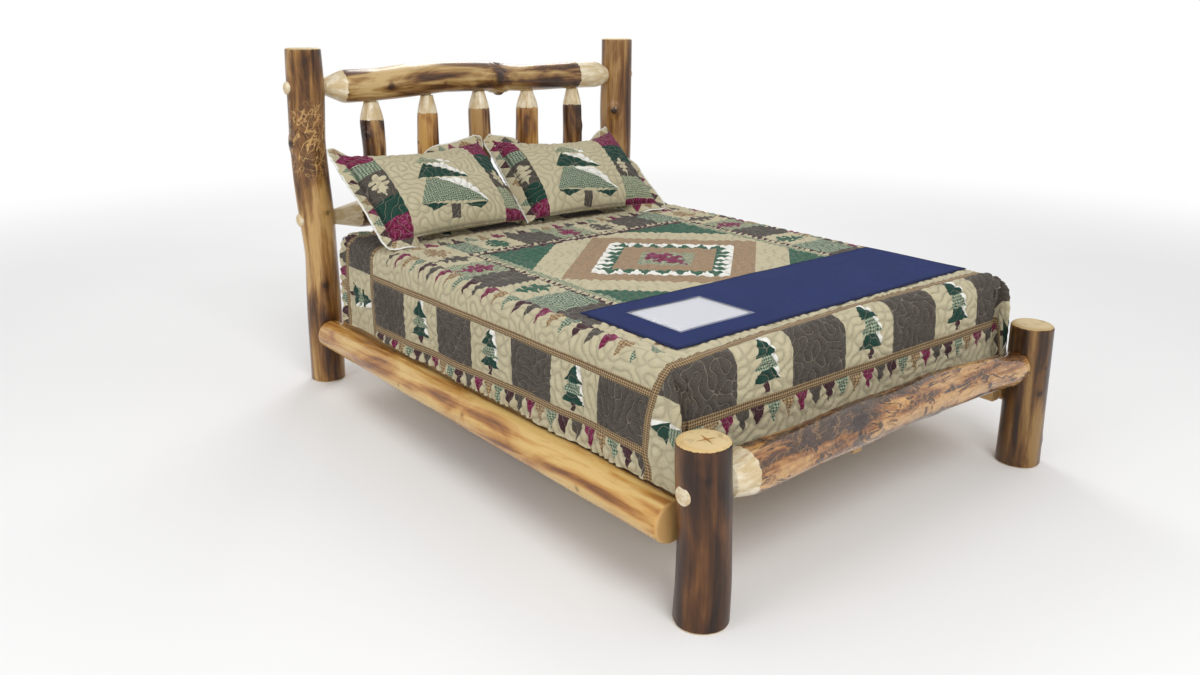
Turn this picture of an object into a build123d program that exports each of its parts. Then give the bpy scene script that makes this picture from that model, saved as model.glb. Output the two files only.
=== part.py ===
from build123d import *
import os
from math import cos, radians, sin, sqrt

# A rustic log bed for a queen mattress, dressed as it is used.
# Millimetres. +X runs across the bed to the right of someone who stands at its foot,
# +Y runs from the foot to the headboard, +Z is up. The origin is on the floor at the bed's middle.

os.makedirs("parts", exist_ok=True)

# ---- Driving dimensions -----------------------------------------------------------------------

# Bedding
MATTRESS_WIDTH = 1524
MATTRESS_LENGTH = 2032
MATTRESS_HEIGHT = 218
MATTRESS_CORNER = 60
MATTRESS_EDGE = 28
MATTRESS_COVER = 6
FOUNDATION_HEIGHT = 102
FOUNDATION_INSET = 4
FOUNDATION_COVER = 2.5
FOUNDATION_CORNER = 50
FOUNDATION_BOARD = 19
FOUNDATION_TOP_BOARD = 12
FOUNDATION_TOP_BOARD_WIDTH = 70
FOUNDATION_TOP_BOARDS = 9
QUILT_THICKNESS = 9
QUILT_HEAD_REVEAL = 75
SOFT_CLEARANCE = 0.5

# Where the mattress lies between the posts
FOOT_GAP = 55
HEAD_GAP = 37

# Logs. Each row of a log is (share of its length, bow sideways, bow the other way, diameter).
RIM_ROUND = 10
FOOT_POST_INSET = 11
FOOT_POST_HEIGHT = 498
LEFT_FOOT_POST = [
    (0.00, -3, 0, 147),
    (0.20, 2, 0, 143),
    (0.42, 3, 0, 140),
    (0.62, 0, 0, 142),
    (0.82, -7, 0, 144),
    (1.00, -10, 0, 141),
]
RIGHT_FOOT_POST = [
    (0.00, 15, 0, 147),
    (0.30, 17, 0, 143),
    (0.64, 18, 0, 140),
    (1.00, 19, 0, 140),
]
HEAD_POST_OUTSET = 23
HEAD_POST_HEIGHT = 1370
RIGHT_HEAD_POST_EXTRA = 22
LEFT_HEAD_POST = [
    (0.00, 0, 0, 140),
    (0.19, 1, 0, 136),
    (0.39, 4, 0, 130),
    (0.50, -3, 0, 139),
    (0.61, -14, 0, 139),
    (0.73, -22, 0, 139),
    (0.88, -15, 0, 143),
    (1.00, -15, 0, 139),
]
RIGHT_HEAD_POST = [
    (0.00, -12, 0, 152),
    (0.25, -14, 0, 148),
    (0.50, -14, 0, 151),
    (0.75, -12, 0, 150),
    (1.00, -7, 0, 148),
]

FOOT_RAIL_DROP = 133
FOOT_RAIL = [
    (0.00, 0, 2, 92),
    (0.05, 0, 8, 126),
    (0.30, 0, 11, 124),
    (0.62, 4, 17, 122),
    (0.86, 2, 9, 116),
    (0.96, 0, -4, 112),
    (1.00, 0, 0, 92),
]
TOP_RAIL_DROP = 163
TOP_RAIL = [
    (0.00, 0, 10, 60),
    (0.06, 0, 6, 134),
    (0.16, 0, 10, 131),
    (0.26, 0, 22, 139),
    (0.38, 0, 32, 132),
    (0.51, 0, 29, 130),
    (0.65, 0, 15, 118),
    (0.81, 0, 18, 122),
    (0.95, 0, 18, 125),
    (1.00, 0, 14, 78),
]
BOTTOM_RAIL_Z = 688
BOTTOM_RAIL = [
    (0.00, 0, 0, 62),
    (0.08, 0, -2, 116),
    (0.35, 3, -5, 122),
    (0.70, -2, -3, 118),
    (0.92, 0, 0, 114),
    (1.00, 0, 0, 62),
]
RAIL_TENON_DIAMETER = 50.8
HEAD_TENON_PROUD = 16
FOOT_TENON_PROUD = 4
TENON_CLEARANCE = 0.3
TENON_DOME = 0.8
SHOULDER_GAP = 0.8

SPINDLE_DIAMETERS = [98, 94, 99, 110, 95]
SPINDLE_THINNING = 0.95
SPINDLE_SHIFT = -11
SPINDLE_END_GAP = 270
SPINDLE_CONE = 78
SPINDLE_NECK = 52
SPINDLE_TENON_DIAMETER = 38
SPINDLE_TENON_LENGTH = 42

SIDE_RAIL_OUTSET = 29
SIDE_RAIL_FOOT_Z = 254
SIDE_RAIL_HEAD_Z = 213
SIDE_RAIL_FOOT_DIAMETER = 120
SIDE_RAIL_HEAD_DIAMETER = 113
SIDE_RAIL_FLAT = 8
SEAT_DEPTH = 6
SEAT_MARGIN = 6

# Sawn wood that carries the mattress
LEDGER_THICKNESS = 38
LEDGER_HEIGHT = 89
LEDGER_END_GAP = 8
SLAT_COUNT = 9
SLAT_WIDTH = 89
SLAT_THICKNESS = 19
SLAT_END_GAP = 3
SLAT_OVER_RAIL = 2
BEAM_THICKNESS = 38
BEAM_HEIGHT = 89
BEAM_END_GAP = 30
LEG_DIAMETER = 76
LEG_COUNT = 2
LEG_PITCH_SHARE = 0.42
LEG_BRIDLE_DEPTH = 45
LEG_PIN_DIAMETER = 12
GLIDE_DIAMETER = 40
GLIDE_HEIGHT = 9
GLIDE_STEM_DIAMETER = 10
GLIDE_STEM_LENGTH = 45
GLIDE_GAP = 6
WOOD_CLEARANCE = 0.3

# Steel fasteners
PLATE_THICKNESS = 3
PLATE_WIDTH = 22
PLATE_HEIGHT = 80
PLATE_GAP = 0.3
PLATE_SHARE = 0.35
HOOK_THICKNESS = 4
HOOK_NECK = 12
HOOK_DROP = 8
HOOK_TONGUE = 4
HOOK_TO_SCREW = 20
HOOK_CLEARANCE = 0.4
PLATE_SCREW_SET_IN = 6
PLATE_SCREW_DIAMETER = 4.2
PLATE_SCREW_HEAD = 7.6
PLATE_SCREW_LENGTH = 32
LEDGER_SCREWS = 6
LEDGER_SCREW_DIAMETER = 6
LEDGER_SCREW_HEAD = 12
LEDGER_SCREW_LENGTH = 72
SLAT_SCREW_DIAMETER = 4.5
SLAT_SCREW_HEAD = 8.5
SLAT_SCREW_LENGTH = 50
SCREW_HEAD_HEIGHT = 2.2
SCREW_CLEARANCE = 0.1

# Pillows in flanged shams, and the quilted mat with its card in a clear pocket
SHAM_WIDTH = 690
SHAM_HEIGHT = 560
SHAM_FLANGE = 48
SHAM_THICKNESS = 2.5
PILLOW_LOFT = 165
PILLOW_CORNER = 70
PILLOW_SHARES = [(0.0, 1.0), (0.45, 0.94), (0.85, 0.76), (1.0, 0.6)]
PILLOW_TILT = 37
LEFT_PILLOW_TURN = 5
RIGHT_PILLOW_TURN = -4
PILLOWS_MEET_X = -42
PILLOW_GAP = 10
PILLOW_HEAD_SET = 212
MAT_SIDE_SET = 69.5
MAT_LENGTH = 425
MAT_THICKNESS = 3
MAT_CORNER = 8
MAT_X = 33
MAT_FOOT_SET = 102
MAT_TURN = 1.0
CARD_WIDTH = 279.4
CARD_LENGTH = 215.9
CARD_THICKNESS = 0.4
CARD_SET_IN = 251.5
POCKET_BORDER = 11
POCKET_FILM = 0.5

# ---- Places worked out from them --------------------------------------------------------------


def stations_of(shares, length):
    """A log's rows with the share of its length turned into a distance along it."""
    return [(length * share, bow, other_bow, diameter) for share, bow, other_bow, diameter in shares]


def section_at(stations, distance):
    """The bows and the diameter of a log at a distance along it."""
    for near, far in zip(stations, stations[1:]):
        if distance <= far[0]:
            break
    share = (distance - near[0]) / (far[0] - near[0])
    return [a + share * (b - a) for a, b in zip(near[1:], far[1:])]


FOOT_POSTS = {
    "left": stations_of(LEFT_FOOT_POST, FOOT_POST_HEIGHT),
    "right": stations_of(RIGHT_FOOT_POST, FOOT_POST_HEIGHT),
}
HEAD_POSTS = {
    "left": stations_of(LEFT_HEAD_POST, HEAD_POST_HEIGHT),
    "right": stations_of(RIGHT_HEAD_POST, HEAD_POST_HEIGHT + RIGHT_HEAD_POST_EXTRA),
}
SIDES = {"left": -1, "right": 1}

foot_post_x = MATTRESS_WIDTH / 2 - FOOT_POST_INSET
head_post_x = MATTRESS_WIDTH / 2 + HEAD_POST_OUTSET
side_rail_x = MATTRESS_WIDTH / 2 + SIDE_RAIL_OUTSET
foot_rail_z = FOOT_POST_HEIGHT - FOOT_RAIL_DROP
top_rail_z = HEAD_POST_HEIGHT - TOP_RAIL_DROP
foot_post_r = section_at(FOOT_POSTS["left"], SIDE_RAIL_FOOT_Z)[2] / 2
head_post_r = section_at(HEAD_POSTS["left"], SIDE_RAIL_HEAD_Z)[2] / 2
post_spacing = foot_post_r + FOOT_GAP + MATTRESS_LENGTH + HEAD_GAP + head_post_r
foot_y = -post_spacing / 2
head_y = post_spacing / 2
mattress_foot_y = foot_y + foot_post_r + FOOT_GAP
mattress_head_y = mattress_foot_y + MATTRESS_LENGTH
mattress_y = (mattress_foot_y + mattress_head_y) / 2

rail_top_z = SIDE_RAIL_FOOT_Z + SIDE_RAIL_FOOT_DIAMETER / 2
slat_top_z = rail_top_z + SLAT_OVER_RAIL
ledger_top_z = slat_top_z - SLAT_THICKNESS
foundation_top_z = slat_top_z + SOFT_CLEARANCE + FOUNDATION_HEIGHT
mattress_bottom_z = foundation_top_z + SOFT_CLEARANCE
mattress_top_z = mattress_bottom_z + MATTRESS_HEIGHT
quilt_top_z = mattress_top_z + SOFT_CLEARANCE + QUILT_THICKNESS
quilt_hem_z = slat_top_z + SOFT_CLEARANCE

plate_stack = 2 * PLATE_THICKNESS + PLATE_GAP
foot_seat_y = foot_y + foot_post_r - SEAT_DEPTH
head_seat_y = head_y - head_post_r + SEAT_DEPTH
rail_foot_y = foot_seat_y + plate_stack
rail_head_y = head_seat_y - plate_stack
rail_length = rail_head_y - rail_foot_y
ledger_x = side_rail_x - SIDE_RAIL_FOOT_DIAMETER / 2 + SIDE_RAIL_FLAT
ledger_foot_y = rail_foot_y + LEDGER_END_GAP
ledger_head_y = rail_head_y - LEDGER_END_GAP
ledger_length = ledger_head_y - ledger_foot_y
slat_length = 2 * (ledger_x - SLAT_END_GAP)
slat_screw_x = ledger_x - LEDGER_THICKNESS / 2
slat_pitch = (ledger_length - SLAT_WIDTH) / (SLAT_COUNT - 1)
slat_ys = [ledger_foot_y + SLAT_WIDTH / 2 + slat_pitch * i for i in range(SLAT_COUNT)]
beam_foot_y = ledger_foot_y + BEAM_END_GAP
beam_head_y = ledger_head_y - BEAM_END_GAP
beam_length = beam_head_y - beam_foot_y
beam_bottom_z = ledger_top_z - BEAM_HEIGHT
leg_pitch = beam_length * LEG_PITCH_SHARE
leg_ys = [leg_pitch * (i - (LEG_COUNT - 1) / 2) for i in range(LEG_COUNT)]


def across(x, y, z):
    """A plane whose normal is +X, with its own x along +Y and its own y up."""
    return Plane(origin=(x, y, z), x_dir=(0, 1, 0), z_dir=(1, 0, 0))


def along(x, y, z):
    """A plane whose normal is +Y, with its own x along -X and its own y up."""
    return Plane(origin=(x, y, z), x_dir=(-1, 0, 0), z_dir=(0, 1, 0))


def rail_z(y):
    """The height of the side rails' axis, which falls a little towards the headboard."""
    return SIDE_RAIL_FOOT_Z + (SIDE_RAIL_HEAD_Z - SIDE_RAIL_FOOT_Z) * (y - rail_foot_y) / rail_length


def save(piece, name):
    """Labels a finished piece and writes its STEP file."""
    piece.part.label = name
    export_step(piece.part, f"parts/{name}.step")


def peeled_log(base, stations):
    """A log's trunk: round sections joined one after the other along the base plane's normal."""
    with BuildPart() as trunk:
        for distance, bow_x, bow_y, diameter in stations:
            with BuildSketch(base.offset(distance)):
                with Locations((bow_x, bow_y)):
                    Circle(diameter / 2)
        loft(ruled=True)
    return trunk.part


def with_round_rim(stations, at_start=False):
    """The stations with the sawn end's rim eased by two narrow bevels."""
    end = stations[0] if at_start else stations[-1]
    inward = 1 if at_start else -1
    steps = [(RIM_ROUND, 0), (RIM_ROUND * 0.3, RIM_ROUND * 0.7), (0, RIM_ROUND * 2)]
    rim = []
    for back, smaller in steps:
        distance = end[0] + inward * back
        bow_x, bow_y, diameter = section_at(stations, distance)
        rim.append((distance, bow_x, bow_y, diameter - smaller))
    return rim[::-1] + stations[1:] if at_start else stations[:-1] + rim


def pocket_screw(base, diameter, head, length):
    """A countersunk wood screw whose head is flush with the base plane and which points along its normal."""
    with BuildPart() as screw:
        with Locations(base):
            Cylinder(diameter / 2, length, align=(Align.CENTER, Align.CENTER, Align.MIN))
            Cone(
                head / 2,
                diameter / 2,
                SCREW_HEAD_HEIGHT,
                align=(Align.CENTER, Align.CENTER, Align.MIN),
            )
    return screw.part


def screw_hole(base, diameter, head, length):
    """The room that such a screw needs in wood or in a plate."""
    wide = 2 * SCREW_CLEARANCE
    return pocket_screw(base, diameter + wide, head + wide, length + wide)


# ---- Places of the fasteners ------------------------------------------------------------------


plate_screw_pitch = PLATE_HEIGHT - 2 * PLATE_SCREW_SET_IN
hook_pitch = plate_screw_pitch - 2 * HOOK_TO_SCREW


def plate_ends(side):
    """For each end of a side rail: the plate's middle, and the way from the post to the rail."""
    foot_x = foot_post_x + (side_rail_x - foot_post_x) * PLATE_SHARE
    head_x = head_post_x + (side_rail_x - head_post_x) * PLATE_SHARE
    return [
        ((side * foot_x, foot_seat_y, SIDE_RAIL_FOOT_Z), 1),
        ((side * head_x, head_seat_y, SIDE_RAIL_HEAD_Z), -1),
    ]


def facing(middle, way, forward):
    """A plane at a plate, whose normal runs along Y in the way given."""
    x, y, z = middle
    return Plane(origin=(x, y + way * forward, z), x_dir=(way, 0, 0), z_dir=(0, way, 0))


def post_plate_screws(side):
    """Planes of the screws that hold the post plates: into the post, heads flush with the plate."""
    planes = []
    for middle, way in plate_ends(side):
        for up in (-plate_screw_pitch / 2, plate_screw_pitch / 2):
            at = (middle[0], middle[1] + way * PLATE_THICKNESS, middle[2] + up)
            planes.append(Plane(origin=at, x_dir=(1, 0, 0), z_dir=(0, -way, 0)))
    return planes


def rail_plate_screws(side):
    """Planes of the screws that hold the rail plates: into the rail's end."""
    planes = []
    for middle, way in plate_ends(side):
        for up in (-plate_screw_pitch / 2, plate_screw_pitch / 2):
            forward = PLATE_THICKNESS + PLATE_GAP
            at = (middle[0], middle[1] + way * forward, middle[2] + up)
            planes.append(Plane(origin=at, x_dir=(1, 0, 0), z_dir=(0, way, 0)))
    return planes


def ledger_screw_planes(side):
    """Planes of the screws through a ledger into its rail, which follow the rail's axis."""
    planes = []
    pitch = (ledger_length - 2 * SLAT_WIDTH) / (LEDGER_SCREWS - 1)
    for i in range(LEDGER_SCREWS):
        y = ledger_foot_y + SLAT_WIDTH + pitch * i
        z = max(rail_z(y), ledger_top_z - LEDGER_HEIGHT + LEDGER_SCREW_HEAD)
        at = (side * (ledger_x - LEDGER_THICKNESS), y, z)
        planes.append(Plane(origin=at, x_dir=(0, 1, 0), z_dir=(side, 0, 0)))
    return planes


def slat_screw_planes(x):
    """Planes of the screws that go down through every slat at one distance across the bed."""
    planes = []
    for y in slat_ys:
        if x != 0 or beam_foot_y < y < beam_head_y:
            planes.append(Plane(origin=(x, y, slat_top_z), x_dir=(1, 0, 0), z_dir=(0, 0, -1)))
    return planes


# ---- Headboard and footboard posts ------------------------------------------------------------


def through_mortise(stations, post_x, y, z):
    """A round hole right through a post, across the bed, for a rail's tenon."""
    bow, other_bow, post_diameter = section_at(stations, z)
    with BuildPart() as hole:
        with Locations(across(post_x + bow, y, z)):
            Cylinder(RAIL_TENON_DIAMETER / 2 + TENON_CLEARANCE, 2 * post_diameter)
    return hole.part


def bracket_seat(middle, way, rail_diameter):
    """The flat that is cut in a post for the end of a side rail, with pockets behind it for the hooks."""
    with BuildPart() as seat:
        with Locations(facing(middle, way, 0)):
            Box(
                2 * rail_diameter,
                rail_diameter + 2 * SEAT_MARGIN,
                2 * rail_diameter,
                align=(Align.CENTER, Align.CENTER, Align.MIN),
            )
        deep = PLATE_GAP + HOOK_CLEARANCE + HOOK_TONGUE + HOOK_CLEARANCE
        tall = HOOK_NECK + 2 * HOOK_DROP + 4 * HOOK_CLEARANCE
        for up in (-hook_pitch / 2, hook_pitch / 2):
            with Locations((middle[0], middle[1], middle[2] + up)):
                Box(HOOK_THICKNESS + 4 * HOOK_CLEARANCE, 2 * deep, tall)
    return seat.part


def post(stations, post_x, y, rail_heights, seat, screws):
    """A post with mortises for the cross rails, a seat for the side rail and holes for its screws."""
    trunk = peeled_log(Plane(origin=(post_x, y, 0)), with_round_rim(stations))
    with BuildPart() as timber:
        add(trunk)
        for height in rail_heights:
            add(through_mortise(stations, post_x, y, height), mode=Mode.SUBTRACT)
        add(seat, mode=Mode.SUBTRACT)
        for plane in screws:
            hole = screw_hole(plane, PLATE_SCREW_DIAMETER, PLATE_SCREW_HEAD, PLATE_SCREW_LENGTH)
            add(hole, mode=Mode.SUBTRACT)
    return timber


for name, side in SIDES.items():
    foot_end, head_end = plate_ends(side)
    screws = post_plate_screws(side)
    seat = bracket_seat(*foot_end, SIDE_RAIL_FOOT_DIAMETER)
    foot_post = post(FOOT_POSTS[name], side * foot_post_x, foot_y, [foot_rail_z], seat, screws[:2])
    save(foot_post, f"footboard_{name}_post")
    seat = bracket_seat(*head_end, SIDE_RAIL_HEAD_DIAMETER)
    heights = [BOTTOM_RAIL_Z, top_rail_z]
    head_post = post(HEAD_POSTS[name], side * head_post_x, head_y, heights, seat, screws[2:])
    save(head_post, f"headboard_{name}_post")

# ---- Rails across the bed, with their tenons through the posts ---------------------------------


def post_faces(posts, post_x, height, shoulder):
    """Where a pair of posts reach, inwards over a shoulder's height and outwards at its middle."""
    faces = []
    for name, side in SIDES.items():
        inner = []
        for up in (-shoulder, -shoulder / 2, 0, shoulder / 2, shoulder):
            bow, other_bow, diameter = section_at(posts[name], height + up)
            inner.append(post_x + side * bow - diameter / 2)
        bow, other_bow, diameter = section_at(posts[name], height)
        faces.append((side * min(inner), side * (post_x + side * bow + diameter / 2)))
    return faces


def cross_rail(posts, post_x, y, height, shares, proud):
    """A rail from post to post: a bowed log, tapered at both ends to a round tenon."""
    faces = post_faces(posts, post_x, height, shares[0][3] / 2)
    (left_inner, left_outer), (right_inner, right_outer) = faces
    start = left_inner + SHOULDER_GAP
    stations = stations_of(shares, right_inner - SHOULDER_GAP - start)
    log = peeled_log(across(start, y, height), stations)
    tenon_start = left_outer - proud
    tenon_length = right_outer + proud - tenon_start
    with BuildPart() as rail:
        with Locations(across(tenon_start, y, height)):
            Cylinder(
                RAIL_TENON_DIAMETER / 2, tenon_length, align=(Align.CENTER, Align.CENTER, Align.MIN)
            )
        tips = rail.edges().filter_by(GeomType.CIRCLE)
        fillet(tips, min(proud, RAIL_TENON_DIAMETER / 2) * TENON_DOME)
        add(log)
    return rail, start, stations


def spindle_xs():
    """How far across the bed each spindle stands."""
    reach = head_post_x - SPINDLE_END_GAP
    pitch = 2 * reach / (len(SPINDLE_DIAMETERS) - 1)
    return [SPINDLE_SHIFT - reach + pitch * i for i in range(len(SPINDLE_DIAMETERS))]


def spindle_mortise(x, y, z, up):
    """A round blind hole in a rail for one end of a spindle, from the rail's middle outwards."""
    with BuildPart() as hole:
        with Locations(Plane(origin=(x, y, z), x_dir=(1, 0, 0), z_dir=(0, 0, up))):
            Cylinder(
                SPINDLE_TENON_DIAMETER / 2 + TENON_CLEARANCE,
                SPINDLE_TENON_LENGTH * 3,
                align=(Align.CENTER, Align.CENTER, Align.MIN),
            )
    return hole.part


foot_rail = cross_rail(
    FOOT_POSTS, foot_post_x, foot_y, foot_rail_z, FOOT_RAIL, FOOT_TENON_PROUD
)[0]
save(foot_rail, "footboard_rail")

top_rail, top_start, top_stations = cross_rail(
    HEAD_POSTS, head_post_x, head_y, top_rail_z, TOP_RAIL, HEAD_TENON_PROUD
)
bottom_rail, bottom_start, bottom_stations = cross_rail(
    HEAD_POSTS, head_post_x, head_y, BOTTOM_RAIL_Z, BOTTOM_RAIL, HEAD_TENON_PROUD
)


def rail_face(stations, start, height, x, up):
    """How far a cross rail reaches up or down over the width of a spindle's neck."""
    reach = []
    for aside in (-SPINDLE_NECK / 2, 0, SPINDLE_NECK / 2):
        bow, rise, diameter = section_at(stations, x + aside - start)
        reach.append(up * (height + rise) + diameter / 2)
    return up * (max(reach) + SHOULDER_GAP)


spindle_ends = []
for x in spindle_xs():
    lower = rail_face(bottom_stations, bottom_start, BOTTOM_RAIL_Z, x, 1)
    upper = rail_face(top_stations, top_start, top_rail_z, x, -1)
    spindle_ends.append((x, lower, upper))

with BuildPart() as headboard_top_rail:
    add(top_rail.part)
    for x, lower, upper in spindle_ends:
        floor_z = upper + SPINDLE_TENON_LENGTH + WOOD_CLEARANCE
        add(spindle_mortise(x, head_y, floor_z, -1), mode=Mode.SUBTRACT)
save(headboard_top_rail, "headboard_top_rail")

with BuildPart() as headboard_bottom_rail:
    add(bottom_rail.part)
    for x, lower, upper in spindle_ends:
        floor_z = lower - SPINDLE_TENON_LENGTH - WOOD_CLEARANCE
        add(spindle_mortise(x, head_y, floor_z, 1), mode=Mode.SUBTRACT)
save(headboard_bottom_rail, "headboard_bottom_rail")

# ---- Headboard spindles -------------------------------------------------------------------------


def spindle(x, lower, upper, diameter):
    """An upright between the headboard's rails, coned at both ends to a round tenon."""
    height = upper - lower
    stations = [
        (0, 0, 0, SPINDLE_NECK),
        (SPINDLE_CONE, 0, 0, diameter),
        (height - SPINDLE_CONE, 0, 0, diameter * SPINDLE_THINNING),
        (height, 0, 0, SPINDLE_NECK),
    ]
    trunk = peeled_log(Plane(origin=(x, head_y, lower)), stations)
    with BuildPart() as upright:
        add(trunk)
        with Locations((x, head_y, lower - SPINDLE_TENON_LENGTH)):
            Cylinder(
                SPINDLE_TENON_DIAMETER / 2,
                height + 2 * SPINDLE_TENON_LENGTH,
                align=(Align.CENTER, Align.CENTER, Align.MIN),
            )
    return upright


for number, ((x, lower, upper), diameter) in enumerate(zip(spindle_ends, SPINDLE_DIAMETERS), 1):
    save(spindle(x, lower, upper, diameter), f"headboard_spindle_{number}")

# ---- Side rails, and the ledgers that are screwed to them ---------------------------------------


def side_rail(side):
    fall = SIDE_RAIL_HEAD_Z - SIDE_RAIL_FOOT_Z
    ends = [(0, 0, 0, SIDE_RAIL_FOOT_DIAMETER), (rail_length, 0, fall, SIDE_RAIL_HEAD_DIAMETER)]
    stations = with_round_rim(with_round_rim(ends), at_start=True)
    log = peeled_log(along(side * side_rail_x, rail_foot_y, SIDE_RAIL_FOOT_Z), stations)
    with BuildPart() as rail:
        add(log)
        with Locations((side * ledger_x, (rail_foot_y + rail_head_y) / 2, SIDE_RAIL_FOOT_Z)):
            Box(
                SIDE_RAIL_FOOT_DIAMETER,
                ledger_length,
                2 * SIDE_RAIL_FOOT_DIAMETER,
                align=(Align.MAX if side > 0 else Align.MIN, Align.CENTER, Align.CENTER),
                mode=Mode.SUBTRACT,
            )
        for plane in rail_plate_screws(side):
            hole = screw_hole(plane, PLATE_SCREW_DIAMETER, PLATE_SCREW_HEAD, PLATE_SCREW_LENGTH)
            add(hole, mode=Mode.SUBTRACT)
        for plane in ledger_screw_planes(side):
            hole = screw_hole(plane, LEDGER_SCREW_DIAMETER, LEDGER_SCREW_HEAD, LEDGER_SCREW_LENGTH)
            add(hole, mode=Mode.SUBTRACT)
    return rail


def ledger(side):
    with BuildPart() as board:
        with Locations((side * ledger_x, ledger_foot_y, ledger_top_z)):
            Box(
                LEDGER_THICKNESS,
                ledger_length,
                LEDGER_HEIGHT,
                align=(Align.MAX if side > 0 else Align.MIN, Align.MIN, Align.MAX),
            )
        chamfer(board.edges().filter_by(Axis.Y), 2)
        for plane in ledger_screw_planes(side):
            hole = screw_hole(plane, LEDGER_SCREW_DIAMETER, LEDGER_SCREW_HEAD, LEDGER_SCREW_LENGTH)
            add(hole, mode=Mode.SUBTRACT)
        for plane in slat_screw_planes(side * slat_screw_x):
            hole = screw_hole(plane, SLAT_SCREW_DIAMETER, SLAT_SCREW_HEAD, SLAT_SCREW_LENGTH)
            add(hole, mode=Mode.SUBTRACT)
    return board


for name, side in SIDES.items():
    save(side_rail(side), f"{name}_side_rail")
    save(ledger(side), f"{name}_ledger")

# ---- Hook plates that join the side rails to the posts ------------------------------------------


def plate_blank(middle, way, forward):
    """An upright strip of steel on a seat."""
    with BuildPart() as strip:
        with Locations(facing(middle, way, forward)):
            Box(PLATE_WIDTH, PLATE_HEIGHT, PLATE_THICKNESS, align=(Align.CENTER, Align.CENTER, Align.MIN))
    return strip.part


def post_plate(middle, way, screws):
    """The plate on a post, with two slots that take the hooks."""
    slot_height = HOOK_NECK + HOOK_DROP + 2 * HOOK_CLEARANCE
    with BuildPart() as plate:
        add(plate_blank(middle, way, 0))
        for up in (-hook_pitch / 2, hook_pitch / 2):
            with Locations((middle[0], middle[1], middle[2] + up + HOOK_DROP / 2)):
                Box(HOOK_THICKNESS + 2 * HOOK_CLEARANCE, 4 * PLATE_THICKNESS, slot_height, mode=Mode.SUBTRACT)
        for plane in screws:
            hole = screw_hole(plane, PLATE_SCREW_DIAMETER, PLATE_SCREW_HEAD, PLATE_SCREW_LENGTH)
            add(hole, mode=Mode.SUBTRACT)
    return plate.part


def rail_plate(middle, way, screws):
    """The plate on a rail's end, with two hooks that drop behind the post plate."""
    face = PLATE_THICKNESS + PLATE_GAP
    reach = face + HOOK_CLEARANCE + HOOK_TONGUE
    with BuildPart() as plate:
        add(plate_blank(middle, way, face))
        for up in (-hook_pitch / 2, hook_pitch / 2):
            neck = facing((middle[0], middle[1], middle[2] + up), way, face)
            with Locations(neck):
                Box(HOOK_THICKNESS, HOOK_NECK, reach, align=(Align.CENTER, Align.CENTER, Align.MAX))
            tongue = facing((middle[0], middle[1], middle[2] + up - HOOK_NECK / 2), way, -HOOK_CLEARANCE)
            with Locations(tongue):
                Box(HOOK_THICKNESS, HOOK_DROP, HOOK_TONGUE, align=(Align.CENTER, Align.MAX, Align.MAX))
        for plane in screws:
            hole = screw_hole(plane, PLATE_SCREW_DIAMETER, PLATE_SCREW_HEAD, PLATE_SCREW_LENGTH)
            add(hole, mode=Mode.SUBTRACT)
    return plate.part


with BuildPart() as post_plates:
    for side in SIDES.values():
        for number, (middle, way) in enumerate(plate_ends(side)):
            add(post_plate(middle, way, post_plate_screws(side)[2 * number : 2 * number + 2]))
save(post_plates, "post_slot_plates")

with BuildPart() as rail_plates:
    for side in SIDES.values():
        for number, (middle, way) in enumerate(plate_ends(side)):
            add(rail_plate(middle, way, rail_plate_screws(side)[2 * number : 2 * number + 2]))
save(rail_plates, "rail_hook_plates")

with BuildPart() as plate_screws:
    for side in SIDES.values():
        for plane in post_plate_screws(side) + rail_plate_screws(side):
            add(pocket_screw(plane, PLATE_SCREW_DIAMETER, PLATE_SCREW_HEAD, PLATE_SCREW_LENGTH))
save(plate_screws, "plate_screws")

with BuildPart() as ledger_screws:
    for side in SIDES.values():
        for plane in ledger_screw_planes(side):
            add(pocket_screw(plane, LEDGER_SCREW_DIAMETER, LEDGER_SCREW_HEAD, LEDGER_SCREW_LENGTH))
save(ledger_screws, "ledger_screws")

# ---- Slats, the middle beam and its legs --------------------------------------------------------

for number, y in enumerate(slat_ys, 1):
    with BuildPart() as slat:
        with Locations((0, y, ledger_top_z)):
            Box(slat_length, SLAT_WIDTH, SLAT_THICKNESS, align=(Align.CENTER, Align.CENTER, Align.MIN))
        chamfer(slat.edges().filter_by(Axis.X), 1.5)
        for x in (-slat_screw_x, 0, slat_screw_x):
            for plane in slat_screw_planes(x):
                if abs(plane.origin.Y - y) < SLAT_WIDTH / 2:
                    hole = screw_hole(plane, SLAT_SCREW_DIAMETER, SLAT_SCREW_HEAD, SLAT_SCREW_LENGTH)
                    add(hole, mode=Mode.SUBTRACT)
    save(slat, f"slat_{number}")

with BuildPart() as slat_screws:
    for x in (-slat_screw_x, 0, slat_screw_x):
        for plane in slat_screw_planes(x):
            add(pocket_screw(plane, SLAT_SCREW_DIAMETER, SLAT_SCREW_HEAD, SLAT_SCREW_LENGTH))
save(slat_screws, "slat_screws")

with BuildPart() as middle_beam:
    with Locations((0, beam_foot_y, ledger_top_z)):
        Box(BEAM_THICKNESS, beam_length, BEAM_HEIGHT, align=(Align.CENTER, Align.MIN, Align.MAX))
    chamfer(middle_beam.edges().filter_by(Axis.Y), 2)
    for plane in slat_screw_planes(0):
        add(screw_hole(plane, SLAT_SCREW_DIAMETER, SLAT_SCREW_HEAD, SLAT_SCREW_LENGTH), mode=Mode.SUBTRACT)
    for y in leg_ys:
        with Locations(across(0, y, beam_bottom_z + LEG_BRIDLE_DEPTH / 2)):
            Cylinder(LEG_PIN_DIAMETER / 2 + SCREW_CLEARANCE, 2 * LEG_DIAMETER, mode=Mode.SUBTRACT)
save(middle_beam, "middle_beam")

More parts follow.
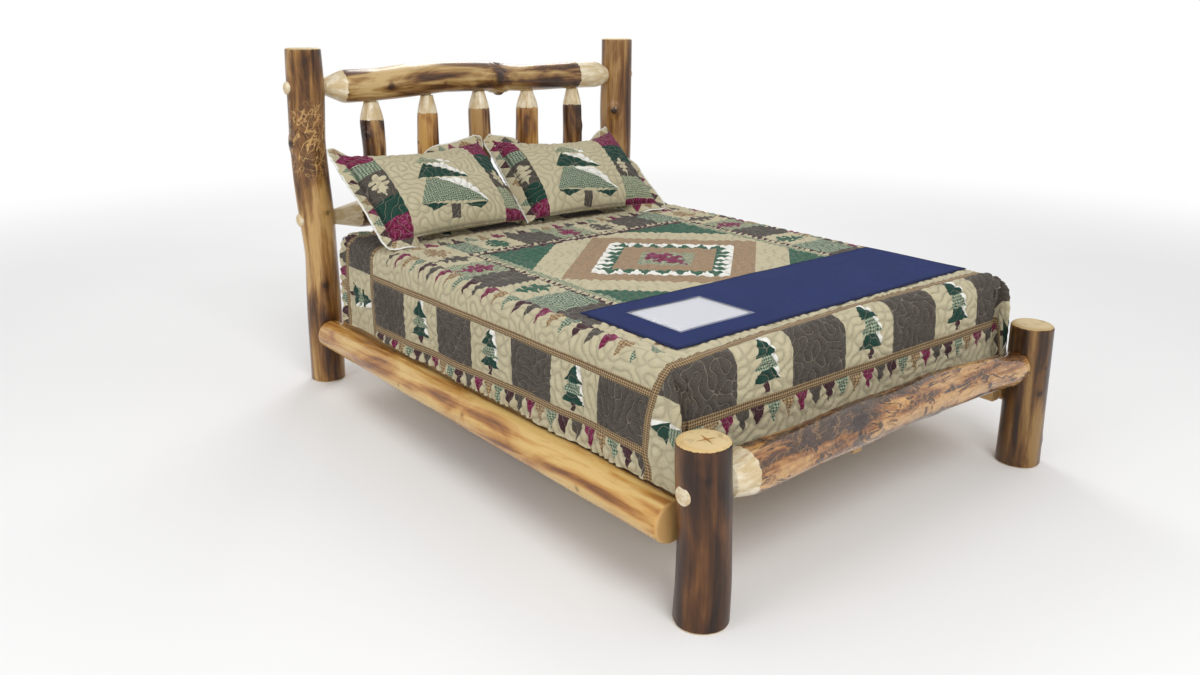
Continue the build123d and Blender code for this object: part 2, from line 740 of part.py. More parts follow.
for number, y in enumerate(leg_ys, 1):
    with BuildPart() as leg:
        with Locations((0, y, GLIDE_HEIGHT + GLIDE_GAP)):
            Cylinder(
                LEG_DIAMETER / 2,
                beam_bottom_z + LEG_BRIDLE_DEPTH - GLIDE_HEIGHT - GLIDE_GAP,
                align=(Align.CENTER, Align.CENTER, Align.MIN),
            )
        chamfer(leg.edges().filter_by(GeomType.CIRCLE), 4)
        with Locations((0, y, beam_bottom_z)):
            Box(
                BEAM_THICKNESS + 2 * WOOD_CLEARANCE,
                2 * LEG_DIAMETER,
                2 * LEG_BRIDLE_DEPTH,
                align=(Align.CENTER, Align.CENTER, Align.MIN),
                mode=Mode.SUBTRACT,
            )
        with Locations(across(0, y, beam_bottom_z + LEG_BRIDLE_DEPTH / 2)):
            Cylinder(LEG_PIN_DIAMETER / 2 + SCREW_CLEARANCE, 2 * LEG_DIAMETER, mode=Mode.SUBTRACT)
        with Locations((0, y, 0)):
            Cylinder(
                GLIDE_STEM_DIAMETER / 2 + SCREW_CLEARANCE,
                GLIDE_HEIGHT + GLIDE_STEM_LENGTH + GLIDE_GAP,
                align=(Align.CENTER, Align.CENTER, Align.MIN),
                mode=Mode.SUBTRACT,
            )
    save(leg, f"middle_leg_{number}")

with BuildPart() as leg_pins:
    for y in leg_ys:
        with Locations(across(0, y, beam_bottom_z + LEG_BRIDLE_DEPTH / 2)):
            Cylinder(LEG_PIN_DIAMETER / 2, LEG_DIAMETER)
save(leg_pins, "leg_pins")

with BuildPart() as leg_glides:
    for y in leg_ys:
        with Locations((0, y, 0)):
            Cone(
                GLIDE_DIAMETER / 2,
                GLIDE_DIAMETER / 2 - 4,
                GLIDE_HEIGHT,
                align=(Align.CENTER, Align.CENTER, Align.MIN),
            )
            Cylinder(
                GLIDE_STEM_DIAMETER / 2,
                GLIDE_HEIGHT + GLIDE_STEM_LENGTH,
                align=(Align.CENTER, Align.CENTER, Align.MIN),
            )
save(leg_glides, "leg_glides")

# ---- Foundation and mattress --------------------------------------------------------------------


def rounded_block(width, length, bottom, height, corner, edge):
    """A block with rounded upright corners and eased upper and lower edges, over the mattress's middle."""
    with BuildPart() as block:
        with BuildSketch(Plane.XY.offset(bottom)):
            with Locations((0, mattress_y)):
                RectangleRounded(width, length, corner)
        extrude(amount=height)
        if edge:
            upper = block.faces().sort_by(Axis.Z)[-1].edges()
            lower = block.faces().sort_by(Axis.Z)[0].edges()
            fillet(upper + lower, edge)
    return block.part


foundation_width = MATTRESS_WIDTH - 2 * FOUNDATION_INSET
foundation_length = MATTRESS_LENGTH - 2 * FOUNDATION_INSET
frame_width = foundation_width - 2 * FOUNDATION_COVER - 2 * SOFT_CLEARANCE
frame_length = foundation_length - 2 * FOUNDATION_COVER - 2 * SOFT_CLEARANCE
frame_corner = FOUNDATION_CORNER - FOUNDATION_COVER - SOFT_CLEARANCE
frame_bottom_z = slat_top_z + SOFT_CLEARANCE + FOUNDATION_COVER + SOFT_CLEARANCE
frame_height = FOUNDATION_HEIGHT - 2 * FOUNDATION_COVER - 2 * SOFT_CLEARANCE
side_board_height = frame_height - FOUNDATION_TOP_BOARD

with BuildPart() as foundation_frame:
    with Locations((0, mattress_y, frame_bottom_z)):
        Box(frame_width, frame_length, side_board_height, align=(Align.CENTER, Align.CENTER, Align.MIN))
        Box(
            frame_width - 2 * FOUNDATION_BOARD,
            frame_length - 2 * FOUNDATION_BOARD,
            side_board_height,
            align=(Align.CENTER, Align.CENTER, Align.MIN),
            mode=Mode.SUBTRACT,
        )
        Box(
            FOUNDATION_BOARD,
            frame_length - FOUNDATION_BOARD,
            side_board_height,
            align=(Align.CENTER, Align.CENTER, Align.MIN),
        )
    board_pitch = (frame_length - FOUNDATION_TOP_BOARD_WIDTH) / (FOUNDATION_TOP_BOARDS - 1)
    for i in range(FOUNDATION_TOP_BOARDS):
        y = mattress_y + board_pitch * (i - (FOUNDATION_TOP_BOARDS - 1) / 2)
        with Locations((0, y, frame_bottom_z + side_board_height)):
            Box(
                frame_width,
                FOUNDATION_TOP_BOARD_WIDTH,
                FOUNDATION_TOP_BOARD,
                align=(Align.CENTER, Align.CENTER, Align.MIN),
            )
    add(
        rounded_block(frame_width, frame_length, frame_bottom_z, frame_height, frame_corner, 0),
        mode=Mode.INTERSECT,
    )
save(foundation_frame, "foundation_frame")

with BuildPart() as foundation_cover:
    add(
        rounded_block(
            foundation_width,
            foundation_length,
            slat_top_z + SOFT_CLEARANCE,
            FOUNDATION_HEIGHT,
            FOUNDATION_CORNER,
            0,
        )
    )
    add(
        rounded_block(
            frame_width + 2 * SOFT_CLEARANCE,
            frame_length + 2 * SOFT_CLEARANCE,
            frame_bottom_z - SOFT_CLEARANCE,
            frame_height + 2 * SOFT_CLEARANCE,
            frame_corner + SOFT_CLEARANCE,
            0,
        ),
        mode=Mode.SUBTRACT,
    )
save(foundation_cover, "foundation_cover")


def mattress_shape(inset):
    """The mattress's rounded block, made smaller all round by the inset."""
    return rounded_block(
        MATTRESS_WIDTH - 2 * inset,
        MATTRESS_LENGTH - 2 * inset,
        mattress_bottom_z + inset,
        MATTRESS_HEIGHT - 2 * inset,
        MATTRESS_CORNER - inset,
        MATTRESS_EDGE - inset,
    )


with BuildPart() as mattress_core:
    add(mattress_shape(MATTRESS_COVER + SOFT_CLEARANCE))
save(mattress_core, "mattress_core")

with BuildPart() as mattress_cover:
    add(mattress_shape(0))
    add(mattress_shape(MATTRESS_COVER), mode=Mode.SUBTRACT)
save(mattress_cover, "mattress_cover")

# ---- Quilt: over the mattress, down both sides and the foot --------------------------------------


def quilt_form(clear):
    """The space under a cloth that lies over the mattress and hangs to the hem, with a clearance."""
    with BuildPart() as form:
        with BuildSketch(Plane.XY.offset(quilt_hem_z)):
            with Locations((0, mattress_y)):
                RectangleRounded(
                    MATTRESS_WIDTH + 2 * clear, MATTRESS_LENGTH + 2 * clear, MATTRESS_CORNER + clear
                )
        extrude(amount=mattress_top_z + clear - quilt_hem_z)
        fillet(form.faces().sort_by(Axis.Z)[-1].edges(), MATTRESS_EDGE + clear)
    return form.part


with BuildPart() as quilt:
    add(quilt_form(SOFT_CLEARANCE + QUILT_THICKNESS))
    add(quilt_form(SOFT_CLEARANCE), mode=Mode.SUBTRACT)
    with Locations((0, mattress_head_y - QUILT_HEAD_REVEAL, quilt_hem_z)):
        Box(
            2 * MATTRESS_WIDTH,
            2 * QUILT_HEAD_REVEAL + MATTRESS_CORNER,
            4 * (MATTRESS_HEIGHT + FOUNDATION_HEIGHT),
            align=(Align.CENTER, Align.MIN, Align.CENTER),
            mode=Mode.SUBTRACT,
        )
save(quilt, "quilt")

# ---- Pillows in their shams ----------------------------------------------------------------------


def pillow_reach(turn):
    """How far a turned, leaning sham reaches sideways at its lower edge."""
    run = SHAM_HEIGHT / 2 * cos(radians(PILLOW_TILT))
    return SHAM_WIDTH / 2 * cos(radians(turn)) + run * sin(radians(abs(turn)))


def pillow_plane(side, turn):
    """The middle plane of a pillow that leans on the headboard: its own y runs up the slope."""
    lean = radians(PILLOW_TILT)
    swing = radians(turn)
    x = PILLOWS_MEET_X + side * (PILLOW_GAP / 2 + pillow_reach(turn))
    y = mattress_head_y - PILLOW_HEAD_SET
    rise = SHAM_HEIGHT / 2 * sin(lean) + SHAM_THICKNESS * cos(lean)
    normal = (sin(lean) * sin(swing), -sin(lean) * cos(swing), cos(lean))
    return Plane(
        origin=(x, y, quilt_top_z + SOFT_CLEARANCE + rise),
        x_dir=(cos(swing), sin(swing), 0),
        z_dir=normal,
    )


def pillow_form(plane, grow):
    """A plump pillow, with sections that shrink towards its two faces, made larger all round by grow."""
    width = SHAM_WIDTH - 2 * SHAM_FLANGE
    height = SHAM_HEIGHT - 2 * SHAM_FLANGE
    half = PILLOW_LOFT / 2 + grow
    under = [(-level, share) for level, share in PILLOW_SHARES[:0:-1]]
    with BuildPart() as form:
        for level, share in under + PILLOW_SHARES:
            with BuildSketch(plane.offset(level * half)):
                RectangleRounded(
                    width * share + 2 * grow, height * share + 2 * grow, PILLOW_CORNER
                )
        loft(ruled=True)
    return form.part


for name, turn in (("left", LEFT_PILLOW_TURN), ("right", RIGHT_PILLOW_TURN)):
    plane = pillow_plane(SIDES[name], turn)
    with BuildPart() as pillow:
        add(pillow_form(plane, 0))
    save(pillow, f"{name}_pillow")
    with BuildPart() as sham:
        add(pillow_form(plane, SOFT_CLEARANCE + SHAM_THICKNESS))
        with BuildSketch(plane.offset(-SHAM_THICKNESS)):
            RectangleRounded(SHAM_WIDTH, SHAM_HEIGHT, SHAM_FLANGE)
        extrude(amount=2 * SHAM_THICKNESS)
        add(pillow_form(plane, SOFT_CLEARANCE), mode=Mode.SUBTRACT)
    save(sham, f"{name}_sham")

# ---- Foot mat with a blank card in a clear pocket ------------------------------------------------

mat_width = MATTRESS_WIDTH - 2 * MAT_SIDE_SET
card_x = CARD_SET_IN - mat_width / 2
mat_y = mattress_foot_y + MAT_FOOT_SET + MAT_LENGTH / 2
mat_plane = Plane(
    origin=(MAT_X, mat_y, quilt_top_z + SOFT_CLEARANCE),
    x_dir=(cos(radians(MAT_TURN)), sin(radians(MAT_TURN)), 0),
    z_dir=(0, 0, 1),
)

with BuildPart() as foot_mat:
    with BuildSketch(mat_plane):
        RectangleRounded(mat_width, MAT_LENGTH, MAT_CORNER)
    extrude(amount=MAT_THICKNESS)
save(foot_mat, "foot_mat")

with BuildPart() as blank_card:
    with BuildSketch(mat_plane.offset(MAT_THICKNESS)):
        with Locations((card_x, 0)):
            Rectangle(CARD_WIDTH, CARD_LENGTH)
    extrude(amount=CARD_THICKNESS)
save(blank_card, "blank_card")

with BuildPart() as card_pocket:
    with BuildSketch(mat_plane.offset(MAT_THICKNESS)):
        with Locations((card_x, 0)):
            RectangleRounded(
                CARD_WIDTH + 2 * POCKET_BORDER, CARD_LENGTH + 2 * POCKET_BORDER, MAT_CORNER
            )
    extrude(amount=CARD_THICKNESS + SCREW_CLEARANCE + POCKET_FILM)
    with BuildSketch(mat_plane.offset(MAT_THICKNESS)):
        with Locations((card_x, 0)):
            Rectangle(CARD_WIDTH + 2 * SOFT_CLEARANCE, CARD_LENGTH + 2 * SOFT_CLEARANCE)
    extrude(amount=CARD_THICKNESS + SCREW_CLEARANCE, mode=Mode.SUBTRACT)
save(card_pocket, "card_pocket")
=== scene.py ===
from math import cos, pi, radians, sin

import bpy
import numpy as np
from mathutils import Matrix, Vector


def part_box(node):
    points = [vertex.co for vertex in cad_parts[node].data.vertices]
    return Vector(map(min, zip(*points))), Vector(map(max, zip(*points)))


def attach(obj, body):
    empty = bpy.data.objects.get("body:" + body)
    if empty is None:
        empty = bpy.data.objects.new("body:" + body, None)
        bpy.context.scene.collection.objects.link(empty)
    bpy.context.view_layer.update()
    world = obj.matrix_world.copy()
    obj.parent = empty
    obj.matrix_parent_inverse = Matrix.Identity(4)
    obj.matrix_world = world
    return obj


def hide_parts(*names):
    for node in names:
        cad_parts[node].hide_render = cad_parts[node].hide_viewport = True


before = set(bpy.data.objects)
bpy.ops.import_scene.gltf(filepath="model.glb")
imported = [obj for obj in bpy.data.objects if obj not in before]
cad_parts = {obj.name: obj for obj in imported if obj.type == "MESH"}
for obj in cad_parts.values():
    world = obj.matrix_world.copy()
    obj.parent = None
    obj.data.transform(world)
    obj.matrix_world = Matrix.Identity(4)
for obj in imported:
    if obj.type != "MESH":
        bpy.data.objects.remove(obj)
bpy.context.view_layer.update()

# Camera and room
# A camera at standing height off the bed's left foot corner, a plain pale floor under soft lamps,
# and a white room that only the camera and shiny surfaces see.

CAMERA_PLACE = Vector((-2.33292, -2.74418, 1.49618))
CAMERA_YAW, CAMERA_PITCH, CAMERA_ROLL = radians(39.0914), radians(13.8797), radians(0.36325)

ahead = Vector((
    sin(CAMERA_YAW) * cos(CAMERA_PITCH), cos(CAMERA_YAW) * cos(CAMERA_PITCH), -sin(CAMERA_PITCH)))
level = Vector((cos(CAMERA_YAW), -sin(CAMERA_YAW), 0))
upright = level.cross(ahead)
side = cos(CAMERA_ROLL) * level + sin(CAMERA_ROLL) * upright
top = -sin(CAMERA_ROLL) * level + cos(CAMERA_ROLL) * upright
camera = bpy.data.objects.new("camera", bpy.data.cameras.new("camera"))
bpy.context.collection.objects.link(camera)
turned = Matrix((side, top, -ahead)).transposed().to_4x4()
camera.matrix_world = Matrix.Translation(CAMERA_PLACE) @ turned
camera.data.lens = 29.774
camera.data.sensor_width = 36
camera.data.shift_x = -0.01779
camera.data.shift_y = -0.06299
camera.data.clip_end = 200
bpy.context.scene.camera = camera
bpy.context.scene.view_settings.view_transform = "Standard"


class Wire:
    """An output socket of a material's node, on which arithmetic adds Math nodes."""

    def __init__(self, finish, socket):
        self.finish, self.socket = finish, socket

    def math(self, operation, *others):
        """One Math node on this value and up to two others."""
        return self.finish.node("Math", {"operation": operation}, dict(enumerate((self, *others))))

    def of(self, out):
        """Another output of the same node."""
        return Wire(self.finish, self.socket.node.outputs[out])

    def __add__(self, other):
        return self.math("ADD", other)

    def __sub__(self, other):
        return self.math("SUBTRACT", other)

    def __rsub__(self, other):
        return self.finish.node("Math", {"operation": "SUBTRACT"}, {0: other, 1: self})

    def __mul__(self, other):
        return self.math("MULTIPLY", other)

    def __truediv__(self, other):
        return self.math("DIVIDE", other)

    def __abs__(self):
        return self.math("ABSOLUTE")

    __radd__, __rmul__ = __add__, __mul__

    def least(self, other):
        return self.math("MINIMUM", other)

    def most(self, other):
        return self.math("MAXIMUM", other)

    def over(self, edge, soft=0.0):
        """1 where the value is over the edge and 0 where it is under, with a soft step between."""
        return self.ramp(edge - soft, edge + soft) if soft else self.math("GREATER_THAN", edge)

    def under(self, edge):
        """1 where the value isn't over the edge."""
        return 1 - self.over(edge)

    def within(self, low, high):
        """1 where the value is between two edges."""
        return self.over(low) * self.under(high)

    def ramp(self, low, high, start=0.0, end=1.0):
        """A smooth step from start to end as the value goes from low to high."""
        return self.finish.node(
            "MapRange", {"interpolation_type": "SMOOTHSTEP"}, {0: self, 1: low, 2: high, 3: start, 4: end})


class Finish:
    """A procedural material, or the room's light, built node by node."""

    def __init__(self, name, owner=None):
        self.owner = owner or bpy.data.materials.new(name)
        self.owner.use_nodes = True
        self.tree = self.owner.node_tree
        self.tree.nodes.clear()

    def node(self, kind, settings={}, sockets={}, out=0):
        """A node of a type with its settings, its sockets' values or wires, and one output as a wire."""
        made = self.tree.nodes.new("ShaderNode" + kind)
        for key, value in settings.items():
            if key == "stops":
                for _ in value[2:]:
                    made.color_ramp.elements.new(1)
                for stop, (place, colour) in zip(made.color_ramp.elements, value):
                    stop.position, stop.color = place, colour
            else:
                setattr(made, key, value)
        for key, value in sockets.items():
            if isinstance(value, Wire):
                self.tree.links.new(value.socket, made.inputs[key])
            elif value is not None:
                made.inputs[key].default_value = value
        return Wire(self, made.outputs[out]) if out is not None else None

    def mix(self, share, first, second, blend="MIX"):
        """The first colour, turned to the second by a share."""
        settings = {"data_type": "RGBA", "blend_type": blend}
        return self.node("Mix", settings, {0: share, 6: first, 7: second}, 2)

    def laid(self, colour, *layers):
        """A colour with others laid over it in turn, each by its share."""
        for share, layer in layers:
            colour = self.mix(share, colour, layer)
        return colour

    def noise(self, place, scale, detail=3, rough=0.5, bent=0):
        """Fractal noise on a place, about 0.5 in the mean."""
        return self.node("TexNoise", {}, {
            "Vector": place, "Scale": scale, "Detail": detail, "Roughness": rough, "Distortion": bent})

    def stretch(self, place, scale, shift=(0, 0, 0)):
        """A place moved and then scaled on each axis."""
        return self.node("Mapping", {"vector_type": "POINT"}, {0: place, 1: shift, 3: scale})

    def split(self, vector):
        """The three numbers of a vector."""
        made = self.node("SeparateXYZ", {}, {0: vector})
        return [made.of(axis) for axis in "XYZ"]

    def join(self, x, y, z=0.0):
        """A vector of three numbers."""
        return self.node("CombineXYZ", {}, {0: x, 1: y, 2: z})

    def place(self):
        """The place on the piece, in metres."""
        return self.node("TexCoord", {}, {}, "Object")

    def attribute(self, name, out="Vector"):
        """A vector stored at the mesh's points, or a number if out is "Fac"."""
        return self.node("Attribute", {"attribute_name": name}, {}, out)

    def bump(self, height, depth):
        """A normal bent by a height in units of the depth, in metres."""
        return self.node("Bump", {}, {"Height": height, "Distance": depth, "Strength": 1.0})

    def surface(self, **sockets):
        """The Principled shader with these sockets, as the material's surface."""
        sockets = {name.replace("_", " "): value for name, value in sockets.items()}
        return self.show(self.node("BsdfPrincipled", {}, sockets))

    def show(self, shader, kind="Material"):
        """The shader as the owner's surface."""
        self.node("Output" + kind, {}, {0: shader}, None)
        return self.owner


def dye(code, share=1.0):
    """The linear colour of a hexadecimal screen colour, darkened to a share of itself."""
    light = [int(code[i:i + 2], 16) / 255 for i in (0, 2, 4)]
    return (*[share * (c / 12.92 if c < 0.04045 else ((c + 0.055) / 1.055) ** 2.4) for c in light], 1.0)


ROOM_LIGHT = 0.62
room = Finish("room", bpy.data.worlds.new("room"))
bpy.context.scene.world = room.owner
seen = room.node("LightPath").of("Is Camera Ray") + room.node("LightPath").of("Is Glossy Ray")
seen = (seen + room.node("LightPath").of("Is Transmission Ray")).least(1.0)
WHITE = (1, 1, 1, 1)
room.show(room.node("Background", {}, {0: WHITE, 1: seen.ramp(0, 1, ROOM_LIGHT, 1.0)}), "World")


def lamp(name, place, aim, size, power):
    """A square soft lamp at a place, turned to an aim."""
    made = bpy.data.objects.new(name, bpy.data.lights.new(name, "AREA"))
    made.data.size, made.data.energy = size, power
    made.location = place
    made.rotation_euler = (Vector(aim) - Vector(place)).to_track_quat("-Z", "Y").to_euler()
    bpy.context.collection.objects.link(made)


lamp("key_lamp", (-1.6, -4.6, 4.6), (0, 0, 0.4), 2.6, 150)
lamp("side_lamp", (-5.2, -0.6, 3.2), (0, 0.2, 0.4), 2.4, 48)
lamp("back_lamp", (2.5, 4.2, 4.2), (0, 0, 0.6), 2.4, 90)


def mesh_object(name, points, faces, finish):
    """A smooth mesh object at the origin from points and lists of faces, with its finish."""
    mesh = bpy.data.meshes.new(name)
    mesh.from_pydata(points.tolist(), [], faces)
    mesh.materials.append(finish)
    mesh.polygons.foreach_set("use_smooth", [True] * len(mesh.polygons))
    made = bpy.data.objects.new(name, mesh)
    bpy.context.collection.objects.link(made)
    return made


FLOOR_HALF, FLOOR_REACH = 60.0, (3.2, 7.0)
f = Finish("pale_floor")
floor_place = f.place()
floor_far = f.node("VectorMath", {"operation": "LENGTH"}, {0: floor_place}, 1).ramp(*FLOOR_REACH)
floor_shade = f.noise(floor_place, 0.8, 2).ramp(0.2, 0.8)
floor_paint = f.node("BsdfDiffuse", {}, {
    0: f.mix(floor_shade, (0.90, 0.90, 0.90, 1), (0.92, 0.92, 0.92, 1))})
floor_finish = f.show(f.node("MixShader", {}, {
    0: floor_far * f.node("LightPath", {}, {}, "Is Camera Ray"), 1: floor_paint,
    2: f.node("Emission", {}, {0: WHITE})}))
floor_corners = np.array([(-1, -1, 0), (1, -1, 0), (1, 1, 0), (-1, 1, 0)]) * FLOOR_HALF
mesh_object("floor", floor_corners, [(0, 1, 2, 3)], floor_finish)

# Log posts
# Peeled aspen logs that stand on the floor: four posts with their sharp rims eased by a router, under
# a satin lacquer. Bark beetles' tracks, knots and streaks of stain show through it.

POST_RIM, LOG_STEP, LOG_AROUND = 0.010, 0.005, 96
KNOT_FREE = 6.0  # the mark that stands for no knot near, in knot radii
GRAIN_SHIFT = 3.7  # how far along the grain each log's own stretch of wood is from the last log's


def grid_quads(index, down_first=False):
    """The faces between the rows and columns of a grid of point numbers, turned over if down comes first."""
    a, b, c, d = index[:-1, :-1], index[:-1, 1:], index[1:, 1:], index[1:, :-1]
    return np.stack([a, d, c, b] if down_first else [a, b, c, d], -1).reshape(-1, 4).tolist()


def ringed_skin(name, rings, ends, finish):
    """A closed skin: rows of rings of points, and a middle point at each end that a fan of faces joins."""
    rows, around = rings.shape[:2]
    index = np.arange(rows * around).reshape(rows, around)
    index = np.hstack([index, index[:, :1]])
    first = np.stack([np.full(around, rows * around), index[0, 1:], index[0, :-1]], -1).tolist()
    last = np.stack([np.full(around, rows * around + 1), index[-1, :-1], index[-1, 1:]], -1).tolist()
    points = np.vstack([rings.reshape(-1, 3), ends])
    return mesh_object(name, points, grid_quads(index) + first + last, finish)


def keep_vectors(piece, name, *columns):
    """Three numbers for each point of a piece, as an attribute that its material reads."""
    made = piece.data.attributes.new(name, "FLOAT_VECTOR", "POINT")
    made.data.foreach_set("vector", np.stack([c.ravel() for c in columns], -1).astype(np.float32).ravel())


def stand_in(piece, body, slot_name, *nodes):
    """The piece rides on its body and replaces its CAD nodes. The slot name is not used."""
    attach(piece, body)
    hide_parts(*nodes)


def smoothed(values, reach):
    """Values with a moving average of the given reach, twice over, their ends held."""
    weights = np.ones(2 * reach + 1) / (2 * reach + 1)
    for _ in range(2):
        values = np.convolve(np.pad(values, reach, mode="edge"), weights, mode="valid")
    return values


def log_shape(name, finish, slot_name, rows, place, across, aside, outline, seed, knots=(), wave=0.0016,
              soften=4, cuts=(-9, 9), twist=0.0, planed=None):
    """A closed log skin. Its rows are (distance along, bow across, bow aside, diameter), its outline is a
    list of (distance, radius, end-grain share) from one end's middle to the other's, where no radius means
    the log's own and a negative one so much less than its own. A point is place + axis * distance + bow +
    radius * (cos turn * across + sin turn * aside), where the radius also has slow waves round and along
    the log and a swelling at each knot of (distance, turn in degrees, reach, height, darkness). The grain
    may twist, in radians a metre, and a planed side, (direction, distance from the place), is pressed flat."""
    rows, across, aside = np.array(rows, float), np.array(across, float), np.array(aside, float)
    axis = np.cross(across, aside)
    fine = np.arange(rows[0, 0], rows[-1, 0] + LOG_STEP / 2, LOG_STEP)
    across_bow, aside_bow, own = (
        smoothed(np.interp(fine, rows[:, 0], rows[:, k]), soften) for k in (1, 2, 3))
    along = np.array([at for at, _, _ in outline])
    given = np.array([own_r if own_r is not None else np.nan for _, own_r, _ in outline])
    grain = np.array([share for _, _, share in outline])
    body = np.interp(along, fine, own) / 2
    radius = np.where(np.isnan(given), body, np.where(given < 0, np.maximum(body + given, 0), given))
    turn = np.linspace(0, 2 * pi, LOG_AROUND, endpoint=False)
    s, t = along[:, None], turn[None, :]
    random = np.random.default_rng(seed)
    swell = np.zeros((len(along), LOG_AROUND))
    for count in (2, 3, 4, 5, 7):
        for _ in range(3):
            a, b, pace = random.uniform(0, 2 * pi), random.uniform(0, 2 * pi), random.uniform(3, 16)
            swell += np.cos(count * t + a) * np.cos(pace * s + b) * wave / count
    near, dark = np.full_like(swell, KNOT_FREE), np.zeros_like(swell)
    skin = body.mean()
    for at, degrees, reach, height, darkness in knots:
        gap = np.abs((t - radians(degrees) + pi) % (2 * pi) - pi) * skin
        far = np.hypot(s - at, gap) / reach
        swell += height * (1 / (1 + far ** 4) + 0.25 * np.exp(-((far - 1.6) / 0.5) ** 2))
        dark = np.where(far < near, darkness, dark)
        near = np.minimum(near, far)
    full = np.clip(radius / np.maximum(body, 1e-6), 0, 1)
    round_r = radius[:, None] + swell * (full ** 3)[:, None]
    middle = (np.array(place) + axis * along[:, None] + across * np.interp(along, fine, across_bow)[:, None]
              + aside * np.interp(along, fine, aside_bow)[:, None])
    outwards = np.cos(t)[..., None] * across + np.sin(t)[..., None] * aside
    points = middle[:, None] + round_r[..., None] * outwards
    if planed:
        out = (points - np.array(place)) @ np.array(planed[0], float) - planed[1]
        points = points - np.maximum(out, 0)[..., None] * np.array(planed[0], float)
    made = ringed_skin(name, points[1:-1], points[[0, -1], 0], finish)

    def at_points(values):
        """Values for each row and turn, in the order of the skin's points."""
        values = np.broadcast_to(values, near.shape)
        return np.append(values[1:-1].ravel(), values[[0, -1], 0])

    spun = t + twist * s
    keep_vectors(made, "wood", at_points(round_r * np.cos(spun)), at_points(round_r * np.sin(spun)),
                 at_points(s + GRAIN_SHIFT * seed))
    keep_vectors(made, "mark", at_points(near), at_points(dark), at_points(grain[:, None]))
    inside_cut = at_points(np.clip(np.maximum(cuts[0] - s, s - cuts[1]), -0.2, 0.2)).astype(np.float32)
    made.data.attributes.new("cut", "FLOAT", "POINT").data.foreach_set("value", inside_cut)
    stand_in(made, "frame", slot_name, name)


def sawn_outline(length, rim, first_radius, last_radius):
    """A log's outline with flat sawn ends: the cap's rings, a quarter circle of the rim, then the skin."""
    eased = [(rim * (1 - cos(a)), -rim * (1 - sin(a)) or None, 1 - a / (pi / 2))
             for a in np.linspace(0, pi / 2, 6)]
    shares = (0, 0.15, 0.3, 0.45, 0.6, 0.75, 0.88)
    first, last = ([(0.0, share * (radius - rim), 1.0) for share in shares] + eased
                   for radius in (first_radius, last_radius))
    skin = [(at, None, 0.0) for at in np.arange(rim + LOG_STEP, length - rim - LOG_STEP / 2, LOG_STEP)]
    return first + skin + [(length - at, r, share) for at, r, share in reversed(last)]


